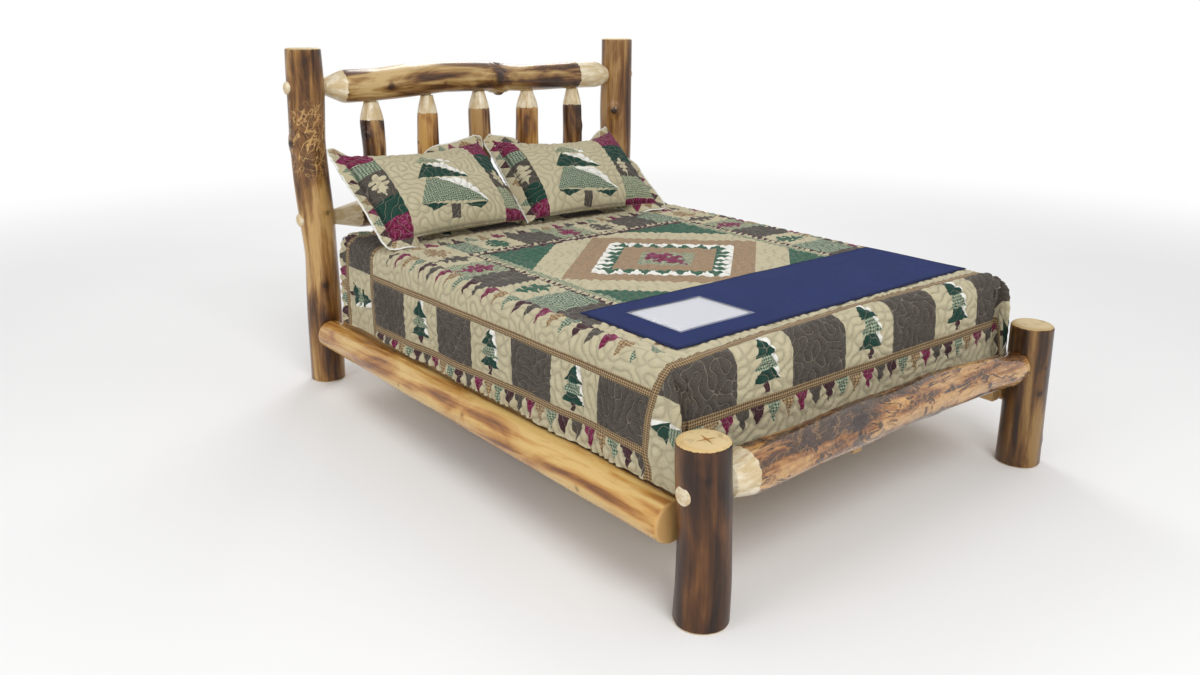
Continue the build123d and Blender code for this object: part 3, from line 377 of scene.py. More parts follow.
def peeled_wood(name, pale, mid, deep, dark, streaks=1.0, blotches=1.0, figure=0.0, tracks=None, shine=0.30,
                cap="D9B77E", cap_edge="B98A4A", star=0.0, shift=0.0, coat=0.28):
    """Lacquered peeled aspen. A ramp of four browns follows long soft streaks and stained patches. A figured
    log adds swirling lines, the contours of a bent noise. Knots are dark with rings, a cut cone and a sawn
    end are pale. Beetle tracks, (from, to, strength) along the log, are crossing scribbles, dark and pale."""
    f = Finish(name)
    wood = f.attribute("wood")
    knot, darkness, grain_end = f.split(f.attribute("mark"))
    cut = f.attribute("cut", "Fac")
    x, y, s = f.split(wood)
    streak = f.noise(f.stretch(wood, (1, 1, 0.07)), 30, 4, 0.55, 0.3)
    patch = f.noise(f.stretch(wood, (1, 1, 0.30)), 9, 4, 0.55, 0.6)
    grain = f.noise(f.stretch(wood, (1, 1, 0.025)), 300, 3, 0.7)
    ring_pull = (1.9 - knot).most(0.0) * darkness * 0.10
    tone = 0.5 + (streak - 0.5) * (1.5 * streaks) + (patch - 0.5) * (1.9 * blotches) + shift - ring_pull
    tone = tone + (grain - 0.5) * 0.20
    height = (streak - 0.5) * 0.35 + (grain - 0.5) * 0.15 + (patch - 0.5) * 0.8
    if figure:
        bent = f.noise(f.stretch(wood, (1, 1, 0.34)), 9.5, 4, 0.52, 1.6)
        swirl = (bent * (2 * pi * 6.5)).math("SINE")
        groove = swirl.ramp(0.55, 0.98) * f.noise(wood, 17, 2).ramp(0.36, 0.58)
        broad = f.noise(f.stretch(wood, (1, 1, 0.22), (4, 1, 2)), 8, 3, 0.5, 1.2)
        tone = tone + (broad - 0.5) * (1.9 * figure) - groove * (0.42 * figure) + swirl * (0.07 * figure)
        height = height - groove * (1.2 * figure) + swirl * (0.30 * figure)
    base = f.node("ValToRGB", {"stops": [
        (0.18, dye(dark)), (0.36, dye(deep)), (0.54, dye(mid)), (0.76, dye(pale))]}, {0: tone})
    fleck = f.noise(f.stretch(wood, (1, 1, 0.16)), 80, 2, 0.5).over(0.70, 0.04)
    base = f.mix(fleck * 0.30, base, dye(deep))
    if tracks:
        bend = (f.noise(wood, 16, 2) - 0.5) * 0.05
        lines = []
        for lean_x, lean_y, squeeze, shift_s, wide in (
                (0.55, -0.45, 0.22, 0, 0.016), (0.15, 0.75, 0.26, 9, 0.014),
                (-0.60, 0.30, 0.20, 5, 0.014), (-0.25, -0.70, 0.24, 14, 0.012)):
            track_place = f.join(x + s * lean_x + bend, y + s * lean_y - bend, s * squeeze + shift_s)
            track = abs(f.noise(track_place, 25, 2, 0.45) - 0.5)
            lines.append(track.ramp(wide * 0.6, wide * 1.4, 1.0, 0.0))
        here = s.ramp(tracks[0], tracks[0] + 0.07) * s.ramp(tracks[1] - 0.10, tracks[1], 1.0, 0.0)
        here = here * f.noise(wood, 11, 2).ramp(0.30, 0.44) * tracks[2]
        low, light = lines[0].most(lines[1]) * here, lines[2].most(lines[3]) * here
        base = f.laid(base, (here * 0.50, dye("94673A")), (low * 0.80, dye(dark)),
                      (light * 0.80, dye(pale, 1.25)))
        height = height - low * 0.5 - light * 0.25
    near = knot + (f.noise(wood, 60, 3) - 0.5) * 0.5
    heart = near.ramp(0.45, 1.05, 1.0, 0.0) * darkness
    rings = (near * 17.0).math("SINE").ramp(-0.6, 0.8) * near.ramp(0.5, 2.2, 1.0, 0.0) * darkness
    base = f.laid(base, (rings * 0.40, dye(deep)), (heart * 0.92, dye(dark, 0.55)))
    # The tool's pale cut on a cone, with flecks of brown left in it
    bite = (f.noise(wood, 70, 3) - 0.5) * 0.020
    cone = (cut + bite).ramp(-0.0015, 0.0015)
    facets = f.noise(f.stretch(wood, (1, 1, 0.35)), 42, 3, 0.55)
    shaved = f.laid(dye("CDB588"), (facets.ramp(0.35, 0.7), dye("EEE3C8")), (fleck * 0.5, dye(mid)))
    base = f.mix(cone, base, shaved)
    height = height * (1 - cone * 0.8) + facets * cone * 0.5
    # Growth rings on the sawn end round an off-centre pith
    px, py = x - 0.006, y + 0.004
    ring_radius = (px * px + py * py).math("SQRT") + (f.noise(f.join(x, y), 40, 2) - 0.5) * 0.006
    ring = (ring_radius * (2 * pi / 0.0042)).math("SINE").ramp(-0.4, 1.0)
    outer, stain = ring_radius.ramp(0.050, 0.068), f.noise(f.join(x, y), 30, 3).ramp(0.52, 0.72)
    face = f.laid(dye(cap), (ring * 0.30, dye(cap_edge)), (outer * 0.55, dye(cap_edge)),
                  (stain * 0.35, dye(mid)))
    if star:
        angle = py.math("ARCTAN2", px)
        arms = abs((angle * 2.0 + 0.5).math("SINE")) * ring_radius
        crack = arms.ramp(0.0006, 0.0020, 1.0, 0.0) * ring_radius.ramp(0.020, 0.030, 1.0, 0.0)
        glow = (arms * 2.0 + ring_radius * 0.55).ramp(0.013, 0.022, 1.0, 0.0)
        face = f.laid(face, (glow * 0.85 * star, dye("B0742A")), (crack * 0.8 * star, dye("5A3210")))
        height = height - crack * grain_end
    cap_share = (grain_end + (f.noise(wood, 120, 2) - 0.5) * 0.35).ramp(0.30, 0.44)
    base = f.mix(cap_share, base, face)
    dull = cap_share.most(grain_end.ramp(0.0, 0.2))
    rough = shine + (streak - 0.5) * 0.18 + dull * 0.30 + cone * 0.10
    return f.surface(
        Base_Color=base, Roughness=rough, Specular_IOR_Level=0.35, Coat_Weight=coat - dull * (coat * 0.92),
        Coat_Roughness=0.12, Normal=f.bump(height, 0.0034 if figure else 0.0022))


def stations(rows, span):
    """A log's rows in metres, from rows of span share, bow across, bow aside and diameter in millimetres."""
    return [(share * span, across / 1000, aside / 1000, size / 1000) for share, across, aside, size in rows]


def post(name, finish, slot_name, place, height, rows, seed, knots, wave=0.0016):
    """A post on the floor: its rows (share, bow to the right, diameter) in millimetres give its bow."""
    log_shape(name, finish, slot_name, stations([(share, bow, 0, size) for share, bow, size in rows], height),
              (*place, 0), (1, 0, 0), (0, 1, 0),
              sawn_outline(height, POST_RIM, rows[0][2] / 2000, rows[-1][2] / 2000),
              seed, knots, wave)


FOOT_POST_X, HEAD_POST_X, POST_Y = 0.751, 0.785, 1.1314
TRACKED_SEED, FIGURED_SEED = 3, 7
dark_bark_wood = peeled_wood("dark_bark_wood", "7A4F27", "533218", "351E0F", "1E1108", 0.70, 0.85, shine=0.36,
                             cap="DCC494", cap_edge="C9A566", star=1.0, shift=-0.04, coat=0.12)
post("footboard_left_post", dark_bark_wood, "dark_log", (-FOOT_POST_X, -POST_Y), 0.498, [
    (0.00, -3, 147), (0.20, 2, 143), (0.42, 3, 140), (0.62, 0, 142), (0.82, -7, 144), (1.00, -10, 141)],
     1, [(0.42, 235, 0.010, 0.0005, 0.6), (0.10, 330, 0.012, 0.001, 0.7)], 0.0012)
streaked_wood = peeled_wood("streaked_wood", "92703F", "6E4A22", "4A2F14", "2E1B0C", shine=0.32,
                            cap="CDB98E", cap_edge="A98552")
post("footboard_right_post", streaked_wood, "tan_log", (FOOT_POST_X, -POST_Y), 0.498,
     [(0.00, 15, 147), (0.30, 17, 143), (0.64, 18, 140), (1.00, 19, 140)],
     2, [(0.27, 250, 0.012, 0.002, 0.8), (0.36, 262, 0.008, 0.001, 0.6), (0.09, 300, 0.012, 0.002, 0.5)])
tracks_from = GRAIN_SHIFT * TRACKED_SEED
tracked_wood = peeled_wood("tracked_wood", "C09A60", "946A37", "6A4622", "3D2412", 1.0, 0.85, shift=0.05,
                           tracks=(tracks_from + 0.84, tracks_from + 1.20, 1.0), shine=0.26,
                           cap="E0D2AC", cap_edge="C2A36A")
post("headboard_left_post", tracked_wood, "golden_log", (-HEAD_POST_X, POST_Y), 1.370, [
    (0.00, 0, 140), (0.19, 1, 136), (0.39, 4, 130), (0.50, -3, 139), (0.61, -14, 139), (0.73, -22, 139),
    (0.88, -15, 143), (1.00, -15, 139)],
     TRACKED_SEED,
     [(1.00, 190, 0.022, 0.012, 1.0), (0.42, 255, 0.016, 0.003, 0.8), (0.72, 285, 0.014, 0.003, 0.6)], 0.0022)
tan_wood = peeled_wood("tan_wood", "A9824E", "83592B", "5F3D1C", "3A2210", 0.9, 0.8, shine=0.28,
                       cap="D8C79C", cap_edge="BD9C64")
post("headboard_right_post", tan_wood, "tan_log", (HEAD_POST_X, POST_Y), 1.392, [
    (0.00, -12, 152), (0.25, -14, 148), (0.50, -14, 151), (0.75, -12, 150), (1.00, -7, 148)],
     4, [(1.05, 225, 0.020, 0.009, 1.0), (0.62, 250, 0.012, 0.003, 0.8)])

# Headboard and footboard rails
# Crooked logs across the bed. Each end is shaved to a cone and a two-inch round tenon that goes right
# through its post and is glued there; at the headboard the tenons' domed ends stand proud.

TENON_R = 0.0254


def tenon_end(length, dome):
    """A tenon's outline from the middle of its domed end to the shoulder at 0: a quarter ellipse, then
    straight."""
    bend = np.linspace(0, pi / 2, 9)
    rows = [(-length + dome * (1 - cos(b)), TENON_R * sin(b), 0.0) for b in bend]
    return rows + [(at, TENON_R, 0.0) for at in np.linspace(-length + dome, -0.001, 5)[1:]]


def cross_log(name, finish, slot_name, ends, tenons, dome, y, z, rows, seed, knots, cuts, wave):
    """A rail from shoulder to shoulder along X, with a tenon at each end. Its rows are (share, bow back,
    bow up, diameter) in millimetres, and its cuts the lengths of the cones."""
    span = ends[1] - ends[0]
    skin = [(at, None, 0.0) for at in np.arange(0, span + LOG_STEP / 4, span / round(span / LOG_STEP))]
    last = [(span - at, r, g) for at, r, g in reversed(tenon_end(tenons[1], dome))]
    log_shape(name, finish, slot_name, stations(rows, span), (ends[0], y, z), (0, 1, 0), (0, 0, 1),
              tenon_end(tenons[0], dome) + skin + last, seed, knots, wave, 2, (cuts[0], span - cuts[1]))


grey_tan_wood = peeled_wood("grey_tan_wood", "C8AA74", "A07C48", "6E4826", "3C2412", 0.9, 1.35, shine=0.27,
                            shift=-0.06)
cross_log("headboard_top_rail", grey_tan_wood, "grey_tan_log", (-0.7278, 0.7000), (0.1596, 0.1658), 0.012,
          POST_Y, 1.207, [
    (0.00, 0, 10, 60), (0.035, 0, 8, 104), (0.060, 0, 6, 134), (0.16, 0, 10, 131), (0.26, 0, 22, 139),
    (0.38, 0, 32, 132), (0.49, 0, 30, 132), (0.53, 0, 28, 133), (0.56, 0, 25, 124), (0.65, 0, 15, 118),
    (0.81, 0, 18, 121), (0.848, 0, 18, 124), (0.860, 0, 18, 133), (0.872, 0, 18, 124), (0.95, 0, 18, 125),
    (0.975, 0, 16, 108), (1.00, 0, 14, 72)],
    5, [(0.265, 186, 0.018, 0.003, 0.75), (0.785, 182, 0.030, 0.010, 1.0), (0.815, 262, 0.024, 0.022, 1.0),
        (0.800, 110, 0.018, 0.008, 0.9), (0.52, 200, 0.008, 0.000, 0.6), (1.36, 175, 0.014, 0.003, 0.5)],
    (0.080, 0.185), 0.0024)
cross_log("headboard_bottom_rail", tan_wood, "tan_log", (-0.7179, 0.6947), (0.1558, 0.1678), 0.012,
          POST_Y, 0.688, [
    (0.00, 0, 0, 62), (0.08, 0, -2, 116), (0.35, 3, -5, 122), (0.70, -2, -3, 118), (0.92, 0, 0, 114),
    (1.00, 0, 0, 62)],
    6, [(0.5, 200, 0.016, 0.004, 0.8)], (0.105, 0.105), 0.002)
tracks_from = GRAIN_SHIFT * FIGURED_SEED
figured_wood = peeled_wood("figured_wood", "CFA062", "9C642B", "5C3418", "2E1A12", 0.7, 0.7, 1.25,
                           (tracks_from + 0.02, tracks_from + 1.38, 0.22), shine=0.14, shift=-0.09, coat=0.85)
cross_log("footboard_rail", figured_wood, "figured_log", (-0.6826, 0.6985), (0.1480, 0.1448), 0.003,
          -POST_Y, 0.365, [
    (0.00, 0, 2, 92), (0.05, 0, 8, 126), (0.16, 0, 9, 126), (0.30, 0, 11, 124), (0.45, 2, 14, 120),
    (0.62, 4, 17, 123), (0.70, 4, 15, 117), (0.86, 2, 9, 117), (0.96, 0, -4, 112), (1.00, 0, 0, 92)],
    FIGURED_SEED, [
        (0.30, 190, 0.013, 0.002, 0.8), (0.55, 170, 0.014, 0.003, 0.9), (0.86, 265, 0.022, 0.006, 1.0),
        (0.92, 150, 0.012, 0.002, 0.7), (1.12, 185, 0.014, 0.003, 0.9), (0.70, 215, 0.012, 0.002, 0.8)],
    (0.070, -0.01), 0.0030)

# Headboard spindles
# Five short logs coned at both ends, tenoned and glued into the top and bottom rails.

SPINDLE_TENON, SPINDLE_TENON_R, SPINDLE_NECK_R, SPINDLE_CONE = 0.042, 0.019, 0.026, 0.078
shaded_wood = peeled_wood("shaded_spindle_wood", "B18A54", "7C5630", "4F321B", "2E190E", 1.0, 1.1, shine=0.24)
amber_wood = peeled_wood("amber_spindle_wood", "C89B58", "9C6C34", "6B431F", "3E2410", 0.9, 1.0, shine=0.24)
for number, (place_x, size, finish, knot, bow) in enumerate([
        (-0.526, 0.098, shaded_wood, (0.27, 215, 0.017, 0.007, 0.8), (0.006, 0.000)),
        (-0.2685, 0.094, amber_wood, (0.22, 180, 0.009, 0.001, 0.7), (0.000, 0.002)),
        (-0.011, 0.099, shaded_wood, (0.18, 300, 0.010, 0.002, 0.7), (0.003, 0.000)),
        (0.2465, 0.110, amber_wood, (0.30, 240, 0.008, 0.001, 0.6), (-0.002, 0.000)),
        (0.504, 0.095, shaded_wood, (0.24, 345, 0.014, 0.006, 0.8), (0.002, 0.000))], 1):
    node = f"headboard_spindle_{number}"
    foot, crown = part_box(node)
    low, high = foot.z + SPINDLE_TENON, crown.z - SPINDLE_TENON
    tall = high - low
    rows = [(0, 0, 0, 2 * SPINDLE_NECK_R), (0.04, 0, 0, 0.80 * size), (SPINDLE_CONE, 0, 0, size),
            (tall / 2, *bow, 0.98 * size), (tall - SPINDLE_CONE, 0, 0, 0.95 * size),
            (tall - 0.038, 0, 0, 0.78 * size), (tall, 0, 0, 2 * SPINDLE_NECK_R)]
    peg = [(-SPINDLE_TENON, 0.0, 0.0), (-SPINDLE_TENON, SPINDLE_TENON_R, 0.0), (-0.001, SPINDLE_TENON_R, 0.0)]
    outline = peg + [(at, None, 0.0) for at in np.linspace(0, tall, round(tall / LOG_STEP))]
    outline += [(tall - at, r, g) for at, r, g in reversed(peg)]
    log_shape(node, finish, "golden_log", rows, (place_x, POST_Y, low), (1, 0, 0), (0, 1, 0), outline,
              10 + number, [knot], soften=2, cuts=(SPINDLE_CONE - 0.004, tall - SPINDLE_CONE + 0.004))

# Side rails
# A pale log along each side of the bed, sawn square at the ends and planed flat inside, hung on the
# posts by hook plates.

SIDE_RAIL_X, SIDE_RAIL_Y, SIDE_RAIL_FLAT_X, SIDE_RAIL_FOOT_Z = 0.791, (-1.0607, 1.0627), 0.739, 0.254
pale_rail_wood = peeled_wood("pale_rail_wood", "D8B46E", "C39049", "A0682B", "74451C", 1.1, 0.9, shine=0.24,
                             cap="C79A5E", cap_edge="E0C693", shift=0.08)
run = SIDE_RAIL_Y[1] - SIDE_RAIL_Y[0]
rows = [(0, 0, 0, 0.120), (0.45, -0.006, 0, 0.121), (1.0, -0.021, 0, 0.118), (run, -0.041, 0, 0.113)]
rail_knots = [(0.33, 255, 0.012, 0.002, 0.6), (0.95, 285, 0.010, 0.001, 0.5), (1.4, 260, 0.009, 0.001, 0.5)]
for sign, node in ((-1, "left_side_rail"), (1, "right_side_rail")):
    log_shape(node, pale_rail_wood, "pale_log", rows, (sign * SIDE_RAIL_X, SIDE_RAIL_Y[0], SIDE_RAIL_FOOT_Z),
              (0, 0, 1), (1, 0, 0), sawn_outline(run, POST_RIM, rows[0][3] / 2, rows[-1][3] / 2), 20 + sign,
              rail_knots, 0.0012, 6, twist=0.8, planed=((-sign, 0, 0), SIDE_RAIL_X - SIDE_RAIL_FLAT_X))

# Slats and their bearers
# Sawn pine: a ledger screwed inside each side rail, nine slats across, and a beam under their middles on
# two round legs, each bridled on, pinned and stood on a levelling glide.


def sawn_pine(name, turn):
    """Planed softwood with its grain along one axis: stretched growth bands, fine fibres and small knots.
    The turn is the order of axes that brings the grain's direction to the last place."""
    f = Finish(name)
    sides = f.split(f.place())
    x, y, s = (sides[k] for k in turn)
    place = f.join(x, y, s * 0.06)
    slow = f.noise(place, 9, 3, 0.5, 0.6)
    band = ((x + y * 0.6 + slow * 0.035) * (2 * pi / 0.0075)).math("SINE").ramp(-0.5, 1.0)
    fibre = f.noise(f.join(x, y, s * 0.02), 700, 3, 0.7)
    spot = f.node("TexVoronoi", {}, {"Vector": f.join(x, y, s * 0.45), "Scale": 5.5})
    base = f.laid(dye("E2C590"), (band * 0.35 + (slow - 0.5) * 0.7 + 0.25, dye("C4935A")),
                  (fibre * 0.22, dye("9C6B38")), (spot.ramp(0.030, 0.060, 1.0, 0.0) * 0.85, dye("6B3F1E")))
    return f.surface(Base_Color=base, Roughness=0.58 + (fibre - 0.5) * 0.15, Specular_IOR_Level=0.3,
                     Normal=f.bump(fibre * 0.6 + band * 0.3, 0.0007))


cross_pine = sawn_pine("pine_along_slats", (1, 2, 0))
length_pine = sawn_pine("pine_along_ledgers", (0, 2, 1))
leg_pine = sawn_pine("pine_along_legs", (0, 1, 2))

f = Finish("zinc_plated_steel")
place = f.place()
grain = f.noise(place, 240, 3, 0.6)
bloom = f.noise(place, 30, 4, 0.6)
zinc = f.surface(Base_Color=f.mix(bloom, dye("A9ACAE"), dye("C6C7C3")), Metallic=0.92,
                 Roughness=0.30 + grain * 0.16, Normal=f.bump(grain, 0.0002))
f = Finish("moulded_nylon")
place = f.place()
nylon = f.surface(Base_Color=f.mix(f.noise(place, 40, 2), dye("2A2A2A"), dye("37373A")), Roughness=0.45,
                  Normal=f.bump(f.noise(place, 900, 2, 0.6), 0.0003))

for finish, nodes in (
        (cross_pine, [f"slat_{k}" for k in range(1, 10)] + ["leg_pins"]),
        (length_pine, ["foundation_frame", "left_ledger", "right_ledger", "middle_beam"]),
        (leg_pine, ["middle_leg_1", "middle_leg_2"]), (nylon, ["leg_glides"]),
        (zinc, ["ledger_screws", "slat_screws", "plate_screws", "post_slot_plates", "rail_hook_plates"])):
    for node in nodes:
        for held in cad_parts[node].material_slots:
            held.material = finish

# Foundation and mattress
# A low timber-framed foundation in a fitted cloth, and on it a foam mattress in a quilted cover. A tape
# is sewn over each edge where the side border meets the panels.


def plan_outline(half_x, half_y, corner, step):
    """A rectangle with round corners, counter-clockwise: its points, outward normals and length so far."""
    quarter = np.linspace(0, pi / 2, 11)
    points, normals = [], []
    for turn, (cx, cy) in enumerate(((1, -1), (1, 1), (-1, 1), (-1, -1))):
        angle = quarter + (turn - 1) * pi / 2
        away = np.stack([np.cos(angle), np.sin(angle)], -1)
        points.append(np.array([cx * (half_x - corner), cy * (half_y - corner)]) + corner * away)
        normals.append(away)
        run = 2 * (half_y if turn % 2 == 0 else half_x) - 2 * corner
        share = np.arange(1, round(run / step))[:, None] / round(run / step)
        ahead_side = np.array([(0, 1), (-1, 0), (0, -1), (1, 0)][turn])
        points.append(points[-1][-1] + share * run * ahead_side)
        normals.append(np.tile(away[-1], (len(share), 1)))
    points, normals = np.vstack(points), np.vstack(normals)
    gone = np.concatenate([[0], np.cumsum(np.hypot(*np.diff(points, axis=0).T))])
    return points, normals, gone


def sewn_box(name, nodes, body, corner, edge, tape, border_dip, finish, slot_name):
    """An upholstered box: each point is the plan's outline moved in by an inset and up by a height. The
    profile runs from the underside's middle line out, round a quarter circle, up the border, which dips at
    its stitched lines, round again and in. A tape stands proud half way round each quarter circle."""
    low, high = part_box(nodes[0])
    middle, half = (low + high) / 2, (high - low) / 2
    outline, away, gone = plan_outline(half.x, half.y, corner, 0.035)
    spine = np.stack([0 * outline[:, 0], np.clip(outline[:, 1], half.x - half.y, half.y - half.x)], -1)
    tall = 2 * half.z
    bend = np.linspace(0, pi / 2, 17)
    ridge = tape * np.exp(-(((bend - pi / 4) * edge / 0.005) ** 4))
    arc_in, arc_up = (edge - (edge + ridge - tape) * way(bend) for way in (np.sin, np.cos))
    wall = np.linspace(edge, tall - edge, 15)[1:-1]
    dips = sum(np.exp(-(((wall - tall * at) / 0.006) ** 2)) for at in (0.34, 0.66)) * border_dip
    panel = np.linspace(0.985, 0.0, 15)[:-1]
    rows = np.ones(len(panel))
    inset = np.concatenate([rows * edge, arc_in, dips + tape, arc_in[::-1], rows * edge])
    height = np.concatenate([rows * tape, arc_up, wall, tall - arc_up[::-1], rows * (tall - tape)])
    inward = np.concatenate([panel, np.zeros(2 * len(bend) + len(wall)), panel[::-1]])
    taped = np.concatenate([0 * panel, ridge / tape, 0 * wall, ridge[::-1] / tape, 0 * panel])
    rim = outline[None] - inset[:, None, None] * away[None]
    flat = rim + (spine[None] - rim) * inward[:, None, None]
    rings = np.concatenate([flat, np.broadcast_to(height[:, None, None], (*flat.shape[:2], 1))], -1)
    ends = np.array([(middle.x, middle.y, low.z + tape), (middle.x, middle.y, high.z - tape)])
    piece = ringed_skin(name, rings + np.array([middle.x, middle.y, low.z]), ends, finish)

    def at_points(values, end_values=(0, 0)):
        """Values for each height and place round the plan, in the order of the skin's points."""
        return np.append(np.broadcast_to(values, flat.shape[:2]), end_values)

    keep_vectors(piece, "seam", at_points(gone), at_points(height[:, None], (tape, tall - tape)),
                 at_points(taped[:, None]))
    stand_in(piece, body, slot_name, *nodes)


def ticking(name, cloth, shade, tape_dye, pitch, depth):
    """Knitted cover cloth: diamond quilting on the panels, stitched waves on the border, a ribbed tape."""
    f = Finish(name)
    x, y, z = f.split(f.place())
    along, up, taped = f.split(f.attribute("seam"))
    facing = abs(f.split(f.node("NewGeometry", {}, {}, "Normal"))[2])
    lying = facing.over(0.75, 0.08)
    one = abs(((x + y) * (pi / pitch)).math("SINE"))
    other = abs(((x - y) * (pi / pitch)).math("SINE"))
    diamond = one.least(other).ramp(0.0, 0.55).math("POWER", 0.5)
    wavy = abs(((along + (up * 42).math("SINE") * 0.008) * (pi / (pitch * 0.8))).math("SINE"))
    ribs = wavy.ramp(0.0, 0.55).math("POWER", 0.5)
    relief = f.node("Mix", {"data_type": "FLOAT"}, {0: lying, 2: ribs, 3: diamond})
    knit = f.noise(f.join(x, y, z), 1400, 2, 0.6)
    slub = f.noise(f.join(x, y, z), 35, 3, 0.5)
    base = f.mix(slub * 0.6 + knit * 0.4, dye(cloth), dye(shade))
    # Painted shade: the cloth is darkened along the quilting's stitch lines, where it dips.
    base = f.mix(relief.ramp(0.0, 0.30, 0.5, 0.0), base, dye(shade, 0.75))
    weave = ((along * (2 * pi / 0.0022)).math("SINE") * 0.5 + 0.5) * taped
    base = f.mix(taped.over(0.25, 0.1), base, f.mix(weave * 0.5, dye(tape_dye), dye(tape_dye, 0.6)))
    height = relief * taped.under(0.2) * depth + knit * 0.04 + weave * 0.12
    return f.surface(Base_Color=base, Roughness=0.88, Specular_IOR_Level=0.2, Sheen_Weight=0.08,
                     Normal=f.bump(height, 0.008))


sewn_box("foundation_cloth_cover", ["foundation_cover"], "frame", 0.050, 0.016, 0.0015, 0.0,
         ticking("foundation_ticking", "D3CFC6", "BDB8AD", "8E8A82", 0.150, 0.12), "foundation_cloth")
sewn_box("mattress_quilted_cover", ["mattress_cover", "mattress_core"], "mattress", 0.060, 0.040, 0.0025,
         0.003, ticking("mattress_knit", "ECEAE3", "D9D6CC", "8C8F96", 0.085, 0.60), "mattress_ticking")

# Quilt
# A patchwork quilt of washed cottons with a thin batting, pieced from dark taupe and pine-tree blocks
# between gingham strips, meander quilted, bound, and laid over the mattress down to the side rails.

QUILT_TOP, QUILT_SIDE_X, QUILT_FOOT_Y, QUILT_EDGE = 0.6465, 0.7715, -1.0154, 0.052
QUILT_FLAT_X, QUILT_FALL, QUILT_HEAD_V = QUILT_SIDE_X - QUILT_EDGE, 0.358, 1.9664
QUILT_STEP, UNDER_EVERY, QUILT_THICK = 0.0079, 4, 0.0088
QUILT_SUNK, QUILT_PUFF, STITCH_LENGTH = 0.0052, 0.0092, 0.053
BLOCK_ROW, BLOCK_PITCH, STRIP_HALF, UNSTITCHED = 0.214, 0.228, 0.013, 0.02
FOOT_STRIP_V, SIDE_STRIP_U, HEAD_STRIP_V = 0.070, 0.842, 1.695
FOOT_SEAMS = [-1.065, -0.837, -0.529, -0.309, -0.078, 0.150, 0.372, 0.609, 0.840, 1.068]
SIDE_SEAMS = [0.083, 0.288, 0.509, 0.727, 0.965, 1.195, 1.430, 1.682]


def hang_profile(run):
    """How far out and down a cloth is at a run over a rounded edge: a quarter circle, then straight down."""
    bend = np.clip(run / QUILT_EDGE, 0, pi / 2)
    straight = np.maximum(run - QUILT_EDGE * pi / 2, 0)
    return QUILT_EDGE * np.sin(bend), QUILT_EDGE * (1 - np.cos(bend)) + straight


def rounded_line(points, times):
    """A line of points with its corners cut a number of times, which tends to a smooth curve."""
    for _ in range(times):
        near, far = points[:-1], points[1:]
        cut = np.stack([0.75 * near + 0.25 * far, 0.25 * near + 0.75 * far], 1)
        points = np.vstack([points[:1], cut.reshape(-1, 2), points[-1:]])
    return points


def ear_table(depths, samples):
    """For each depth below the top, the line that the cloth follows round the corner, from the side face out
    to the ear's crest and back to the foot face: places outwards and footwards, and the crest's share."""
    lines, crests, lengths = [], [], []
    for depth in depths:
        out = float(hang_profile(np.array(depth))[0])
        grown = 1 - np.exp(-((depth / 0.085) ** 2))
        crest = out + 0.036 * grown
        fold = [(out + x * grown, base + y * grown) for x, base, y in (
            (0.002, crest, -0.010), (-0.009, crest, 0.003), (-0.019, crest, -0.012), (-0.018, out, -0.008),
            (-0.024, out, -0.030), (-0.036, out, -0.014), (-0.056, out, 0.003))]
        line = rounded_line(np.array([(out, 0), (out, 0.6 * out), *fold, (0, out), (-0.02 * grown, out)]), 4)
        steps = np.concatenate([[0], np.cumsum(np.hypot(*np.diff(line, axis=0).T))])
        share = np.linspace(0, 1, samples)
        at = steps / max(steps[-1], 1e-9)
        lines.append(np.stack([np.interp(share, at, line[:, 0]), np.interp(share, at, line[:, 1])], -1))
        crests.append(at[np.argmax(line[:, 1])])
        lengths.append(steps[-1])
    return np.array(lines), np.array(crests), np.array(lengths)


EAR_DEPTHS = np.linspace(0, QUILT_FALL, 60)
ear_lines, ear_crests, ear_lengths = ear_table(EAR_DEPTHS, 160)


def lift_of_hem(v):
    """How much longer the side hangs towards the head, where the side rail is lower."""
    return 1 + 0.103 * np.clip((v - 0.1) / 1.8, 0, 1)


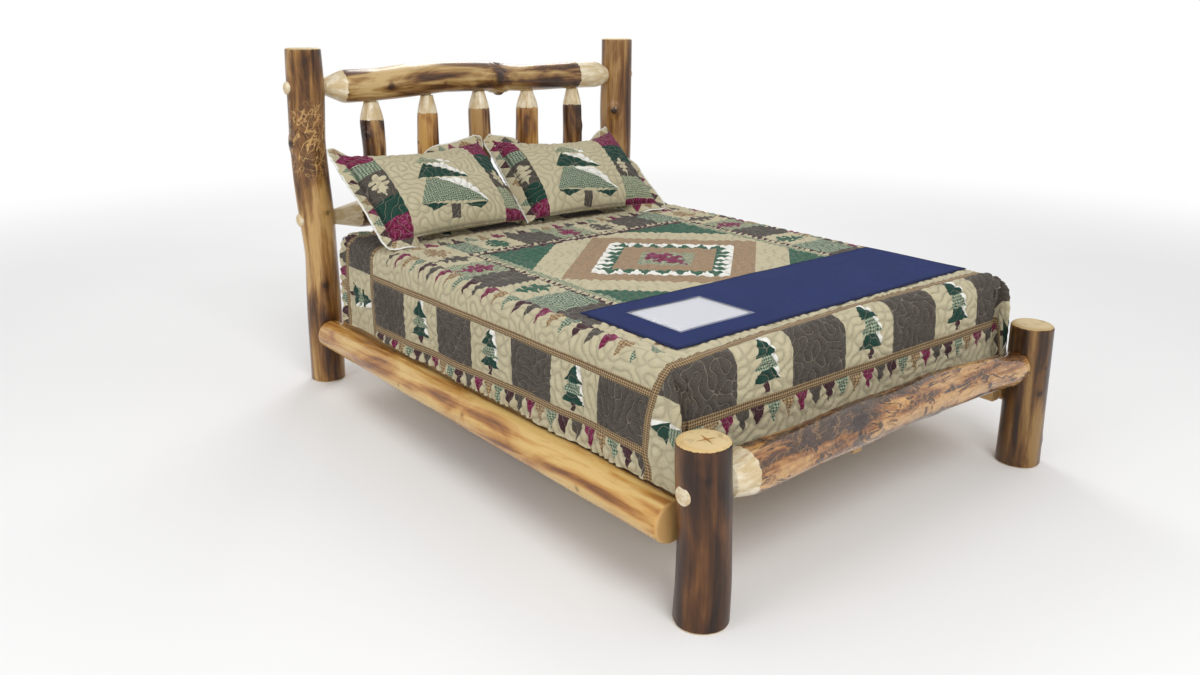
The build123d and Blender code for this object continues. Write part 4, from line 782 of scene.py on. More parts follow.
def draped(u, v):
    """The quilt's outer face before quilting: flat on the mattress, over its edges and straight down. In a
    corner, the deeper of the two runs is the depth, and the cloth between the faces goes round the ear:
    at its true size to the crest, and gathered on the way back."""
    side = np.sign(u)
    over, below = np.maximum(np.abs(u) - QUILT_FLAT_X, 0), np.maximum(QUILT_EDGE - v, 0)
    out_u, down_u = hang_profile(over)
    out_v, down_v = hang_profile(below)
    down_u = np.where(down_u > QUILT_EDGE, QUILT_EDGE + (down_u - QUILT_EDGE) * lift_of_hem(v), down_u)
    x = side * np.where(over > 0, QUILT_FLAT_X + out_u, np.abs(u))
    y = QUILT_FOOT_Y + np.where(below > 0, QUILT_EDGE - out_v, v)
    z = QUILT_TOP - np.where(below > over, down_v, down_u)
    corner = (over > 0) & (below > 0)
    depth = np.maximum(over, below)[corner]
    run = np.where(over >= below, below, 2 * np.maximum(over, below) - over)[corner]
    length = np.interp(depth, EAR_DEPTHS, ear_lengths)
    crest = np.minimum(np.interp(depth, EAR_DEPTHS, ear_crests) * length, depth)
    back = crest + (run - crest) * (length - crest) / np.maximum(2 * depth - crest, 1e-6)
    share = np.clip(np.where(run < crest, run, back) / np.maximum(length, 1e-6), 0, 1)
    i = np.clip(depth / EAR_DEPTHS[1], 0, len(EAR_DEPTHS) - 1.001)
    j = share * (ear_lines.shape[1] - 1.001)
    i0, j0 = i.astype(int), j.astype(int)
    a, b = (i - i0)[:, None], (j - j0)[:, None]
    place = ((1 - a) * ((1 - b) * ear_lines[i0, j0] + b * ear_lines[i0, j0 + 1])
             + a * ((1 - b) * ear_lines[i0 + 1, j0] + b * ear_lines[i0 + 1, j0 + 1]))
    x[corner] = side[corner] * (QUILT_FLAT_X + place[:, 0])
    y[corner] = QUILT_FOOT_Y + QUILT_EDGE - place[:, 1]
    z[corner] = QUILT_TOP - hang_profile(depth)[1]
    return np.stack([x, y, z], -1)


def smooth_step(value, low, high):
    """0 under low, 1 over high, and a smooth rise between."""
    share = np.clip((value - low) / (high - low), 0, 1)
    return share * share * (3 - 2 * share)


def meander(u, v, length, seed):
    """The signed distance in metres to lines that wind like meander quilting: the zero lines of a sum of
    plane waves of about one length in every direction, each value divided by its slope."""
    random = np.random.default_rng(seed)
    total, slope_u, slope_v = np.zeros_like(u), np.zeros_like(u), np.zeros_like(u)
    for heading, phase, size in zip(
            random.uniform(0, 2 * pi, 44), random.uniform(0, 2 * pi, 44), random.uniform(0.86, 1.16, 44)):
        pace = 2 * pi / (length * size)
        wave = pace * (u * cos(heading) + v * sin(heading)) + phase
        total += np.cos(wave)
        slope_u -= pace * cos(heading) * np.sin(wave)
        slope_v -= pace * sin(heading) * np.sin(wave)
    return total / np.maximum(np.hypot(slope_u, slope_v), 250.0)


def border_places(p, q):
    """In the quilt's border: the distance outwards from the first strip, and the place along the blocks,
    counted in blocks, as it is here, along the foot and along a side."""
    at_foot, at_head = q < FOOT_STRIP_V + STRIP_HALF, q > HEAD_STRIP_V - STRIP_HALF
    out = np.where(at_foot, FOOT_STRIP_V - q, np.where(at_head, q - HEAD_STRIP_V, np.abs(p) - SIDE_STRIP_U))
    row = np.interp(p, FOOT_SEAMS, np.arange(len(FOOT_SEAMS)))
    side_row = 1 + np.interp(q, SIDE_SEAMS, np.arange(len(SIDE_SEAMS)))
    return out, np.where(at_foot | at_head, row, side_row), row, side_row


def quilt_pattern(u, v, points):
    """Where a point of the cloth is in the pieced pattern. On the side faces it follows the rows' heights:
    the first strip sinks and the row below it closes up a little towards the foot."""
    first, second = (np.interp(v, [0.0, 0.30, 0.56, 1.0, 1.64, 2.0], heights) for heights in (
        [0.562, 0.558, 0.555, 0.547, 0.532, 0.528], [0.394, 0.393, 0.386, 0.362, 0.334, 0.330]))
    z = points[..., 2]
    low = np.where(z > second, SIDE_STRIP_U + (first - z) / (first - second) * BLOCK_ROW,
                   SIDE_STRIP_U + BLOCK_ROW + (second - z))
    hung = np.where(z > first, SIDE_STRIP_U - (z - first), low)
    in_corner = np.where(v < QUILT_EDGE, smooth_step(-v, 0.0, 0.06), 0)
    share = smooth_step(np.abs(u), QUILT_FLAT_X + 0.03, QUILT_FLAT_X + 0.085) * (1 - in_corner)
    p = np.sign(u) * ((1 - share) * np.abs(u) + share * hung)
    sway = np.interp(u, [-1.09, -1.05, -1.01, -0.90, -0.833, -0.77, -0.70, -0.42, 0.04, 0.80, 1.09],
                     [-0.004, -0.006, -0.022, -0.008, 0.013, 0.038, 0.036, 0.008, -0.016, -0.007, 0.0])
    q = v + sway * smooth_step(v, -0.10, 0.02) * np.exp(-((np.maximum(v, 0) / 0.35) ** 2))
    return p, q


def cloth_lines(start, end):
    """Places along the cloth about a step apart, so many that the underside can take every fourth."""
    return np.linspace(start, end, round(abs(end - start) / QUILT_STEP / UNDER_EVERY) * UNDER_EVERY + 1)


grid_u, grid_v = np.meshgrid(cloth_lines(-QUILT_FLAT_X - QUILT_FALL, QUILT_FLAT_X + QUILT_FALL),
                             cloth_lines(QUILT_HEAD_V, QUILT_EDGE - QUILT_FALL))


def face_normals(points):
    """Unit normals of a grid of points, outwards for the quilt's order of rows."""
    across, along = np.gradient(points, axis=1), np.gradient(points, axis=0)
    normal = np.cross(along, across)
    return normal / np.maximum(np.linalg.norm(normal, axis=-1, keepdims=True), 1e-9)


def quilt_face(u, v):
    """The outer face with its slow waves, and the quilting's relief along its normal: a pillow between the
    meander lines, pressed down along the seams, and lower inside the border, where the mat lies."""
    points = draped(u, v)
    over, below = np.maximum(np.abs(u) - QUILT_FLAT_X, 0), np.maximum(QUILT_EDGE - v, 0)
    hang = np.clip((np.maximum(over, below) - 0.05) / 0.30, 0, 1)
    only = np.where((over > 0.02) & (below > 0.02), 0.0, 1.0)
    side_wave = 0.0045 * np.sin(2 * pi * v / 0.47 + 0.6) + 0.0035 * np.sin(2 * pi * v / 0.29 + 2.2 + 3 * over)
    foot_wave = 0.003 * np.sin(2 * pi * u / 0.38 + 0.4) + 0.0025 * np.sin(2 * pi * u / 0.21)
    wave = side_wave * (over > 0) + foot_wave * (below > 0)
    normals = face_normals(points)
    p, q = quilt_pattern(u, v, points)
    field = meander(u, v, STITCH_LENGTH, 5)
    puff = 1 - np.exp(-((field / 0.0075) ** 2))
    out, row, _, _ = border_places(p, q)
    seam = np.minimum(np.abs(np.abs(out) - STRIP_HALF), np.abs(np.abs(out - BLOCK_ROW) - STRIP_HALF))
    in_row = (out > 0) & (out < BLOCK_ROW)
    seam = np.where(in_row, np.minimum(seam, np.abs(row - np.round(row)) * BLOCK_PITCH), seam)
    in_strip = (np.abs(out) < STRIP_HALF) | (np.abs(out - BLOCK_ROW) < STRIP_HALF)
    puff = np.where(in_strip, 0.35, puff) * (1 - 0.75 * np.exp(-((seam / 0.0065) ** 2)))
    soft = np.where(out > -0.02, 1.0, 0.72)
    relief = -QUILT_SUNK + QUILT_PUFF * puff * soft
    bulge = 0.004 * np.sin(pi * np.clip((np.maximum(over, below) - 0.06) / 0.24, 0, 1))
    relief = relief * (1 - 0.6 * smooth_step(np.minimum(over, below), 0.010, 0.050))
    relief = relief + (bulge + 0.75 * (wave + 0.005) * hang) * only
    return points + normals * relief[..., None], p, q, field


quilt_points, quilt_p, quilt_q, quilt_field = quilt_face(grid_u, grid_v)
inner_points = draped(grid_u, grid_v)
inner_points = inner_points - QUILT_THICK * face_normals(inner_points)
# The underside takes every fourth line of the cloth, joined to the fine rim by many-sided faces
coarse, under_p, under_q = (grid[::UNDER_EVERY, ::UNDER_EVERY] for grid in (inner_points, grid_u, grid_v))
outer_index = np.arange(grid_u.size).reshape(grid_u.shape)
inner_index = grid_u.size + np.arange(coarse[..., 0].size).reshape(coarse.shape[:2])


def rim_faces(fine, under):
    """Faces between four steps of the fine rim and one of the underside's, going round the cloth."""
    fine, under = fine.tolist(), under.tolist()
    return [[*fine[UNDER_EVERY * k:UNDER_EVERY * (k + 1) + 1][::-1], under[k], under[k + 1]]
            for k in range(len(under) - 1)]


quilt_faces = grid_quads(outer_index, True) + grid_quads(inner_index)
for edge in (np.s_[0], np.s_[:, -1], np.s_[-1, ::-1], np.s_[::-1, 0]):
    quilt_faces += rim_faces(outer_index[edge], inner_index[edge])


def choose(share, first, second):
    """The first number where the share is 0 and the second where it is 1."""
    return first + (second - first) * share


def fract(value):
    """A value's part after the point, from 0 to 1."""
    return value.math("FRACT")


def gingham(x, y, pitch):
    """A woven check: 0, a half or 1 where none, one or both of the coloured stripes cross."""
    return (fract(x / pitch).over(0.5) + fract(y / pitch).over(0.5)) * 0.5


def cottons(f, x, y):
    """The quilt's cloths at a place of its flat pattern."""
    place = f.join(x, y)
    fleck = f.noise(place, 210, 2, 0.6)
    wash = f.noise(place, 9, 3, 0.6)
    fine, tiny = gingham(x, y, 0.0094), gingham(x, y, 0.0086)
    bloom = f.noise(place, 75, 2, 0.5, 1.0)
    petals = 1 - abs(bloom - 0.5).over(0.035, 0.02)
    cream = f.mix(wash, dye("B9AF8E"), dye("CAC1A4"))
    return {
        "cream": f.mix(fleck.over(0.60, 0.05) * 0.22, cream, dye("9C9070")),
        "taupe": f.mix(fleck.over(0.56, 0.06) * 0.5, dye("4B453F"), dye("6B6358")),
        "burgundy": f.mix(petals * 0.75, dye("661232"), dye("A44E78")),
        "plum": f.mix(fleck.over(0.56, 0.05) * 0.4, dye("3D2229"), dye("6A4A4E")),
        "green": f.mix(fleck.over(0.58, 0.05) * 0.35, dye("173A30"), dye("3F6B58")),
        "leaf": f.mix(fleck.over(0.55, 0.05) * 0.4, dye("2A5540"), dye("54806A")),
        "white": f.mix(wash, dye("E6E4DA"), dye("F1F0EA")),
        "green check": f.mix(tiny, dye("ABB49A"), dye("1F4436")),
        "tan check": f.mix(fine, dye("B9A27A"), dye("6E5138")),
        "sage check": f.mix(tiny, dye("B4B598"), dye("5C6E55")),
        "tan": f.mix(fine, dye("A88E70"), dye("8F7659")),
        "strip": f.mix(gingham(x, y, 0.0085), dye("B59B72"), dye("4A3626")),
    }


def is_one(value, number):
    """1 where a whole number is the given one."""
    return abs(value - number).under(0.5)


def cycle_of_cloths(f, number, cloths, names):
    """A cloth for each number, over and over."""
    turn = (number + 1000 * len(names)).math("FLOORED_MODULO", len(names))
    colour = cloths[names[0]]
    for place, name in enumerate(names[1:], 1):
        colour = f.mix(is_one(turn, place), colour, cloths[name])
    return colour


SAWTOOTH = ["burgundy", "taupe", "plum", "green check", "tan check"]


def sawteeth(f, cloths, run, half, names=SAWTOOTH, where=1.0):
    """Triangles on cream where the share is 1: one to each step of the run, their half width in steps."""
    teeth = cycle_of_cloths(f, run.math("FLOOR"), cloths, names)
    return f.mix(abs(fract(run) - 0.5).under(half) * where, cloths["cream"], teeth)


def pine_tree(f, cloths, x, y, wide, tall):
    """A three-tiered pine on a trunk: each tier is a triangle, and beyond its right side a white sliver that
    is widest at the top and ends at the right corner. x and y are in metres from the foot of the trunk."""
    trunk = abs(x).over(0.0095 * wide) + y.under(0.0) + y.over(0.045 * tall)
    colour = f.mix((1 - trunk).most(0.0), cloths["cream"], cloths["plum"])
    for base, apex, half, name in ((0.028, 0.088, 0.054, "green"), (0.062, 0.120, 0.047, "green check"),
                                   (0.098, 0.157, 0.040, "green")):
        rise = (y - base * tall) / ((apex - base) * tall)
        reach = (1 - rise) * (half * wide)
        level = rise.within(0.0, 1.0)
        sliver = reach + rise * (0.62 * half * wide)
        colour = f.laid(colour, (abs(x).under(sliver) * x.over(0.0) * level, cloths["white"]),
                        (abs(x).under(reach) * level, cloths[name]))
    return colour


def lobed_leaf(x, y, size):
    """1 inside an oak leaf of a half length: a stem, and ellipses for the body, the top lobe and three pairs
    of side lobes, with their middles and radii as shares of that length."""
    across, along = abs(x) / size, y / size
    leaf = across.under(0.05) * along.within(-1.15, -0.6)
    for at_x, at_y, wide, tall in ((0, -0.05, 0.22, 0.86), (0, 0.70, 0.24, 0.30), (0.38, 0.40, 0.27, 0.20),
                                   (0.36, -0.08, 0.29, 0.18), (0.20, -0.50, 0.20, 0.15)):
        off_x, off_y = (across - at_x) / wide, (along - at_y) / tall
        leaf = leaf.most((off_x * off_x + off_y * off_y).under(1.0))
    return leaf


def quilted(f, colour, painted_ditch_shade, thread, dark, pale, share):
    """A colour with painted shade in the stitches' ditches, turned to pale thread by a share along them."""
    colour = f.mix(painted_ditch_shade * dark, colour, dye("2A231C"), "MULTIPLY")
    return f.mix(thread * share, colour, f.mix(pale, colour, dye("B9AE98")))


INSIDE_U, MEDALLION_V = 0.829, 0.884
TOOTH_PITCH, LEAF_PITCH, SMALL_PITCH = 0.0596, 0.1685, 0.030
LEAF_INSET, LEAF_SIZE, LEAVES_END = 0.210, 0.074, 0.295
f = Finish("patchwork_cotton")
p, q, stitch = f.split(f.attribute("cloth"))
foot_block, side_block, outer_side = f.split(f.attribute("blocks"))
cloths = cottons(f, p, q)
a = abs(p)
at_foot, at_head = q.under(FOOT_STRIP_V + STRIP_HALF), q.over(HEAD_STRIP_V - STRIP_HALF)
at_end = at_foot + at_head
out = choose(at_foot, choose(at_head, a - SIDE_STRIP_U, q - HEAD_STRIP_V), FOOT_STRIP_V - q)
block = choose(at_end, side_block, foot_block)
# The right side of a pine is the right as it is seen from outside the bed
mirror = choose(at_foot, choose(at_head, p.math("SIGN"), -1.0), 1.0)
tree_x = (fract(block) - 0.5) * BLOCK_PITCH * mirror
pine_block = pine_tree(f, cloths, tree_x, (BLOCK_ROW - 0.022) - out, 1.02, 1.14)
taupe_block = is_one(block.math("FLOOR").math("FLOORED_MODULO", 2.0), 1.0)
border = f.mix(taupe_block, pine_block, cloths["taupe"])
below = (out - BLOCK_ROW - STRIP_HALF) / 0.058
hanging_teeth = sawteeth(f, cloths, choose(at_end, q, p) / TOOTH_PITCH, (1 - below) * 0.46,
                         where=below.over(0.0))
border = f.mix(out.over(BLOCK_ROW), border, hanging_teeth)
in_strip = abs(out).under(STRIP_HALF).most(abs(out - BLOCK_ROW).under(STRIP_HALF))
strip_line = abs(out - choose(out.over(0.1), 0.0, BLOCK_ROW))
strip = f.mix(abs(strip_line - 0.0085).under(0.0011) * 0.55, cloths["strip"], dye("3A2A1E"))
border = f.mix(in_strip, border, strip)
# Inside the border: sawteeth, leaf blocks, small teeth and a band, by their inset from it
inset_side, inset_end = INSIDE_U - a, (q - 0.083).least(1.682 - q)
inset = inset_side.least(inset_end)
by_side = 1 - inset_side.over(inset_end + 0.0001)
run = choose(by_side, p, q)
rise = (inset - 0.046) / 0.079
off_mitre = abs(inset_side - inset_end).over(0.030)
inside = sawteeth(f, cloths, run / TOOTH_PITCH + 0.25, rise * 0.47, where=rise.within(0.0, 1.0) * off_mitre)
place = choose(by_side, (run + 0.097) / LEAF_PITCH, (run - 0.080) / LEAF_PITCH)
number = place.math("FLOOR")
grounds, leaf_cloth = (cycle_of_cloths(f, number, cloths, names) for names in (
    ["sage check", "cream", "taupe", "green check", "cream", "taupe"],
    ["burgundy", "taupe", "taupe", "green check", "leaf", "taupe"]))
leaf = lobed_leaf((fract(place) - 0.5) * LEAF_PITCH, inset - LEAF_INSET, LEAF_SIZE)
corner_leaf = lobed_leaf(inset_side - LEAF_INSET, inset_end - LEAF_INSET, LEAF_SIZE)
in_corner = inset_side.under(LEAVES_END) * inset_end.under(LEAVES_END)
leaf_block = f.mix(in_corner, f.mix(leaf, grounds, leaf_cloth),
                   f.mix(corner_leaf, cloths["cream"], cloths["tan check"]))
small_tooth = abs(fract(run / SMALL_PITCH) - 0.5).under((1 - (inset - LEAVES_END) / SMALL_PITCH) * 0.5)
small_teeth = f.mix(small_tooth, cloths["cream"], cloths["plum"])
band = f.mix(by_side, f.mix(q.over(0.88), cloths["leaf"], cloths["plum"]), cloths["sage check"])
# The middle: a diamond in a square, with a ring of geese and a leaf
middle_q = q - MEDALLION_V
diamond = a / 0.47 + abs(middle_q) / 0.44
goose = abs(fract((a - abs(middle_q)) / 0.085) - 0.5)
geese = f.mix(goose.over((diamond - 0.54) * 2.6), cloths["white"], cloths["leaf"])
middle = f.laid(cloths["cream"], (diamond.over(1.38), cloths["leaf"]), (diamond.under(1.0), cloths["tan"]),
                (diamond.under(0.74), geese), (diamond.under(0.54), cloths["tan"]),
                (diamond.under(0.30), cloths["sage check"]),
                (lobed_leaf(p, middle_q, 0.105), cloths["burgundy"]))
inside = f.laid(inside, (inset.over(0.125), leaf_block), (inset.over(LEAVES_END), small_teeth),
                (inset.over(0.325), band), (inset.over(0.352), middle))
colour = f.mix(at_end.most(a.over(INSIDE_U)), inside, border)
thread = abs(stitch).under(0.0011) * (1 - in_strip)
# Painted shade: the cloth darkens towards the meander stitch lines, where the quilting dips.
painted_ditch_shade = abs(stitch).ramp(0.0, 0.0075, 1.0, 0.0) * (1 - in_strip)
colour = f.mix(outer_side, dye("BDB193"), quilted(f, colour, painted_ditch_shade, thread, 0.18, 0.42, 0.75))
place = f.join(p, q)
cloth_height = f.noise(place, 900, 2, 0.7) * 0.12 + f.noise(place, 85, 4, 0.6) * 0.9 - thread * 0.35
quilt_finish = f.surface(Base_Color=colour, Roughness=0.92, Specular_IOR_Level=0.18, Sheen_Weight=0.12,
                         Sheen_Roughness=0.5, Normal=f.bump(cloth_height, 0.0030))
quilt = mesh_object("patchwork_quilt", np.vstack([quilt_points.reshape(-1, 3), coarse.reshape(-1, 3)]),
                    quilt_faces, quilt_finish)
block_rows = border_places(quilt_p, quilt_q)[2:]
keep_vectors(quilt, "cloth", np.append(quilt_p, under_p), np.append(quilt_q, under_q),
             np.append(quilt_field, 0 * under_p + UNSTITCHED))
keep_vectors(quilt, "blocks", *(np.append(outer, 0 * under_p) for outer in (*block_rows, 0 * quilt_p + 1)))
stand_in(quilt, "mattress", "quilt_cotton", "quilt")

# Pillows in their shams
# Two plump pillows, each in a pieced and quilted sham with a flange that a white binding edges. They lean
# on the headboard and stand on the quilt.

SHAM_HALF_X, SHAM_HALF_Y, SHAM_FLANGE, SHAM_LEAN = 0.345, 0.280, 0.048, radians(37)
PANEL_X, PANEL_Y = SHAM_HALF_X - SHAM_FLANGE, SHAM_HALF_Y - SHAM_FLANGE
PILLOW_LOFT, PILLOW_INSET, REST_Z = 0.165, 0.0085, 0.6615
SHAM_Y, SHAM_Z, FLANGE_HALF_THICK, SHAM_PUFF, SHAM_SUNK = 0.814, 0.8175, 0.0016, 0.0060, 0.0018


def sham_frame(place, swing):
    """A leaning sham's middle, and its directions across, up the slope and out of its face."""
    out = np.array([sin(SHAM_LEAN) * sin(swing), -sin(SHAM_LEAN) * cos(swing), cos(SHAM_LEAN)])
    across = np.array([cos(swing), sin(swing), 0.0])
    return np.array(place), across, np.cross(out, across), out


def pillow_height(x, y, seed):
    """How high a pillow's face is over its middle plane, for shares of its half width and half height: a
    steep crown from seam to seam, fuller low down, with creases from the corners and slow waves."""
    crown = np.sqrt(np.maximum(1 - np.abs(x) ** 2.8, 0)) * np.sqrt(np.maximum(1 - np.abs(y) ** 2.5, 0))
    random = np.random.default_rng(seed)
    waves = random.uniform((-1.5, -1.2, 0), (1.5, 1.2, 2 * pi), (5, 3))
    slow = sum(np.cos(pi * (x * a + y * b) + c) for a, b, c in waves)
    turn = np.arctan2(1.02 - np.abs(y), 1.02 - np.abs(x))
    crease = np.cos(turn * 15 + seed) * np.exp(-np.hypot(1 - np.abs(x), 1 - np.abs(y)) * 3.0)
    return np.maximum(PILLOW_LOFT / 2 * crown * (1 - 0.09 * y) + crown * (0.0022 * slow + 0.0050 * crease), 0)


def fold_angle(place, fold):
    """How far a flange is turned back at a place along its seam: an angle between two places, none beyond."""
    start, end, angle = fold
    return (angle * smooth_step(place, start - 0.11, start + 0.03)
            * (1 - smooth_step(place, end - 0.03, end + 0.11)))


def sham_face(x, y, side, seed, leaning, folds, flange, relief):
    """A sham's or pillow's face in space: the panel is stretched from seam to seam, sags a little at its top
    edge and settles on the quilt at its lower one, and is raised along the plane's normal. Beyond the seams
    the flange goes on, turned back about each seam by its fold's angle."""
    middle, across, up, out = leaning
    a, b = np.clip(x, -PANEL_X, PANEL_X), np.clip(y, -PANEL_Y, PANEL_Y)
    sx, sy = a / PANEL_X, b / PANEL_Y
    pull = 1 - sx ** 2
    full = folds["full"]
    panel_x = (a * (1 - 0.030 * (1 - sy ** 2) * sx ** 2) - full[0] * smooth_step(-a, 0.215, PANEL_X)
               + (full[1] + full[2] * sy) * smooth_step(a, 0.215, PANEL_X))
    panel_y = (b - folds["sag"] * pull ** 0.8 * smooth_step(sy, 0.0, 1.0)
               + 0.012 * pull * smooth_step(-sy, 0.1, 1.0))
    high = pillow_height(sx, sy, seed) * (1.0 if side > 0 else 0.92)
    on_panel = smooth_step(np.minimum(PANEL_X - np.abs(x), PANEL_Y - np.abs(y)), -0.002, 0.008)
    high = high + relief * (0.4 + 0.6 * on_panel)
    if not flange:
        high = np.maximum(high - PILLOW_INSET, 0)
    if side < 0:
        rest = (middle[2] + panel_y * up[2] - REST_Z) / out[2]
        high = np.where(high > rest, rest - 0.0015 * (1 - np.exp(-(high - rest) / 0.01)), high)
        high = np.maximum(high, 0)
    points = middle + panel_x[..., None] * across + panel_y[..., None] * up + (side * high)[..., None] * out
    if not flange:
        return points
    to_rim = np.minimum(SHAM_HALF_X - np.abs(x), SHAM_HALF_Y - np.abs(y))
    skin = FLANGE_HALF_THICK * smooth_step(to_rim, 0, 0.004)
    normal = np.broadcast_to(out, points.shape).copy()
    over_x, over_y = (np.maximum(np.abs(place) - panel, 0) / SHAM_FLANGE
                      for place, panel in ((x, PANEL_X), (y, PANEL_Y)))
    rounding = 1 - 0.22 * (over_x * over_y) ** 1.6
    left_bow = 0.12 * np.sin(pi * np.clip((0.16 - y) / 0.44, 0, 1))
    for past, axis, place, fold, bow in (
            (-y - PANEL_Y, -up, x, folds["low"], 0), (y - PANEL_Y, up, x, folds["high"], 0),
            (-x - PANEL_X, -across, y, folds["left"], left_bow), (x - PANEL_X, across, y, folds["right"], 0)):
        over = np.maximum(past, 0)
        angle = fold_angle(place, fold) * smooth_step(over, 0, 0.014)
        over = over * rounding * (1 + bow)
        level, steep = np.cos(angle)[..., None], np.sin(angle)[..., None]
        points = points + over[..., None] * (level * axis - steep * out)
        normal = normal + (over > 0)[..., None] * (steep * axis + (level - 1) * out)
    normal = normal / np.maximum(np.linalg.norm(normal, axis=-1, keepdims=True), 1e-6)
    wave = (1 - on_panel) * 0.0045 * np.sin(27 * x + 19 * y + seed) * smooth_step(y, -0.26, -0.10)
    return points + (side * skin + wave)[..., None] * normal


PUFF_FRAMES, PUFF_SLIDE = 20, 0.0012


def puffed(piece, held, out, front_count, caps):
    """The piece after some frames of Blender's Cloth, blown up from inside without gravity while its held
    points stay. The caps say how far a point of the front face, and one of the rear face, may go outwards,
    and no point goes inwards."""
    piece.vertex_groups.new(name="held").add([int(i) for i in np.flatnonzero(held)], 1.0, "REPLACE")
    cloth = piece.modifiers.new("cloth", "CLOTH")
    cloth.settings.use_pressure, cloth.settings.uniform_pressure_force = True, 4.0
    cloth.settings.effector_weights.gravity = 0.0
    cloth.settings.vertex_group_mass = "held"
    cloth.settings.tension_stiffness, cloth.settings.compression_stiffness = 20.0, 20.0
    cloth.settings.bending_stiffness, cloth.settings.shrink_min = 0.8, -0.015
    cloth.settings.quality = 4
    cloth.point_cache.frame_start, cloth.point_cache.frame_end = 1, PUFF_FRAMES
    for step in range(1, PUFF_FRAMES + 1):
        bpy.context.scene.frame_set(step)
    done = piece.evaluated_get(bpy.context.evaluated_depsgraph_get()).to_mesh()
    before, after = np.empty(3 * len(held)), np.empty(3 * len(held))
    piece.data.vertices.foreach_get("co", before)
    done.vertices.foreach_get("co", after)
    moved = (after - before).reshape(-1, 3)
    in_front = np.arange(len(held)) < front_count
    side, cap = np.where(in_front, 1.0, -1.0), np.where(in_front, *caps)
    lift = np.clip((moved @ out) * side, 0, cap)
    slide = moved - (moved @ out)[:, None] * out
    slide *= np.minimum(1, PUFF_SLIDE / np.maximum(np.linalg.norm(slide, axis=1), 1e-9))[:, None]
    piece.data.vertices.foreach_set("co", before + (slide + (lift * side)[:, None] * out).ravel())
    piece.modifiers.remove(cloth)
    piece.vertex_groups.clear()
    bpy.context.scene.frame_set(1)
    piece.data.update()


def spread(count):
    """Shares from -1 to 1 that lie closer together towards both ends."""
    return 0.30 * np.sin(np.linspace(-pi / 2, pi / 2, count)) + 0.70 * np.linspace(-1, 1, count)


def pillow_piece(name, node, body, slot_name, finish, leaning, folds, flange, seed, columns, rows,
                 pattern_shift=(0, 0)):
    """A sham or its pillow as one closed skin: front and rear faces over the same grid, joined at the rim."""
    reach_x, reach_y = (SHAM_HALF_X, SHAM_HALF_Y) if flange else (PANEL_X, PANEL_Y)
    x, y = np.meshgrid(spread(columns) * reach_x, spread(rows) * reach_y)
    field = meander(x, y, 0.050, seed)
    puff = (SHAM_PUFF * (1 - np.exp(-((field / 0.0070) ** 2))) - SHAM_SUNK) * flange
    front = sham_face(x, y, 1, seed, leaning, folds, flange, puff)
    rear = sham_face(x, y, -1, seed + 1, leaning, folds, flange, 0 * puff)
    index = np.arange(x.size).reshape(x.shape)
    within = np.zeros(x.shape, bool)
    within[1:-1, 1:-1] = True
    rear_index = index.copy()
    rear_index[within] = x.size + np.arange(within.sum())
    piece = mesh_object(name, np.vstack([front.reshape(-1, 3), rear[within]]),
                        grid_quads(index) + grid_quads(rear_index, True), finish)
    keep_vectors(piece, "cloth", np.append(x, x[within]), np.append(y, y[within]),
                 np.append(field, 0 * x[within] + UNSTITCHED))
    if flange:
        held = np.minimum(PANEL_X - np.abs(x), PANEL_Y - np.abs(y)) < 0.003
        puffed(piece, np.append(held, held[within]), leaning[3], x.size, (0.007, 0.002))
    outer = np.append(0 * x + 1, 0 * x[within])
    keep_vectors(piece, "blocks", outer, outer * pattern_shift[0], outer * pattern_shift[1])
    stand_in(piece, body, slot_name, node)


def inside_of(x, y, corners):
    """1 inside a convex shape whose corners go round against the clock."""
    share = None
    for (x1, y1), (x2, y2) in zip(corners, corners[1:] + corners[:1]):
        left = (x * (y1 - y2) + y * (x2 - x1) + (x1 * y2 - x2 * y1)).over(0.0)
        share = left if share is None else share * left
    return share


f = Finish("sham_patchwork")
flat_x, flat_y, stitch = f.split(f.attribute("cloth"))
outer_face, shift_x, shift_y = f.split(f.attribute("blocks"))
x, y = flat_x + shift_x, flat_y + shift_y
cloths = cottons(f, flat_x, flat_y)
colour = cloths["cream"]
for corners, name in (
        ([(-0.039, 0.148), (-0.095, 0.072), (0.030, 0.064)], "sage check"),
        ([(-0.039, 0.148), (0.030, 0.064), (0.067, 0.058)], "white"),
        ([(-0.065, 0.064), (-0.125, -0.016), (0.095, -0.046)], "green"),
        ([(-0.058, 0.064), (0.095, -0.046), (0.026, 0.056)], "white"),
        ([(-0.095, -0.026), (-0.169, -0.140), (0.135, -0.174), (-0.049, -0.030)], "green check"),
        ([(-0.049, -0.030), (0.135, -0.174), (0.049, -0.046)], "white"),
        ([(-0.165, -0.141), (-0.125, -0.178), (-0.055, -0.162)], "green"),
        ([(0.011, -0.172), (0.087, -0.198), (0.131, -0.176)], "green"),
        ([(-0.043, -0.164), (-0.055, -0.214), (-0.013, -0.218), (-0.003, -0.170)], "taupe")):
    colour = f.mix(inside_of(x, y, corners), colour, cloths[name])
column_y = flat_y + shift_y * 1.5
left_x, right_x = flat_x + shift_x * 0.6, flat_x + shift_x * 2.2
for in_column, leaf, bands in (
        (left_x.under(-0.230), lobed_leaf((left_x + 0.262) * 1.35, column_y - 0.010, 0.053),
         ((0.079, 0.150, "green check"), (-0.060, 0.079, "taupe"), (-0.155, -0.060, "green"))),
        (right_x.over(0.208), lobed_leaf((right_x - 0.254) * 1.35, column_y + 0.042, 0.050),
         ((-0.012, 0.114, "green"), (-0.102, -0.012, "taupe"), (-0.202, -0.102, "sage check")))):
    column = cloths["burgundy"]
    for low, high, name in bands:
        column = f.mix(column_y.within(low, high), column, cloths[name])
    colour = f.mix(in_column, colour, f.mix(leaf, column, cloths["cream"]))
edge_x, edge_y = SHAM_HALF_X - abs(flat_x), SHAM_HALF_Y - abs(flat_y)
edge = edge_x.least(edge_y)
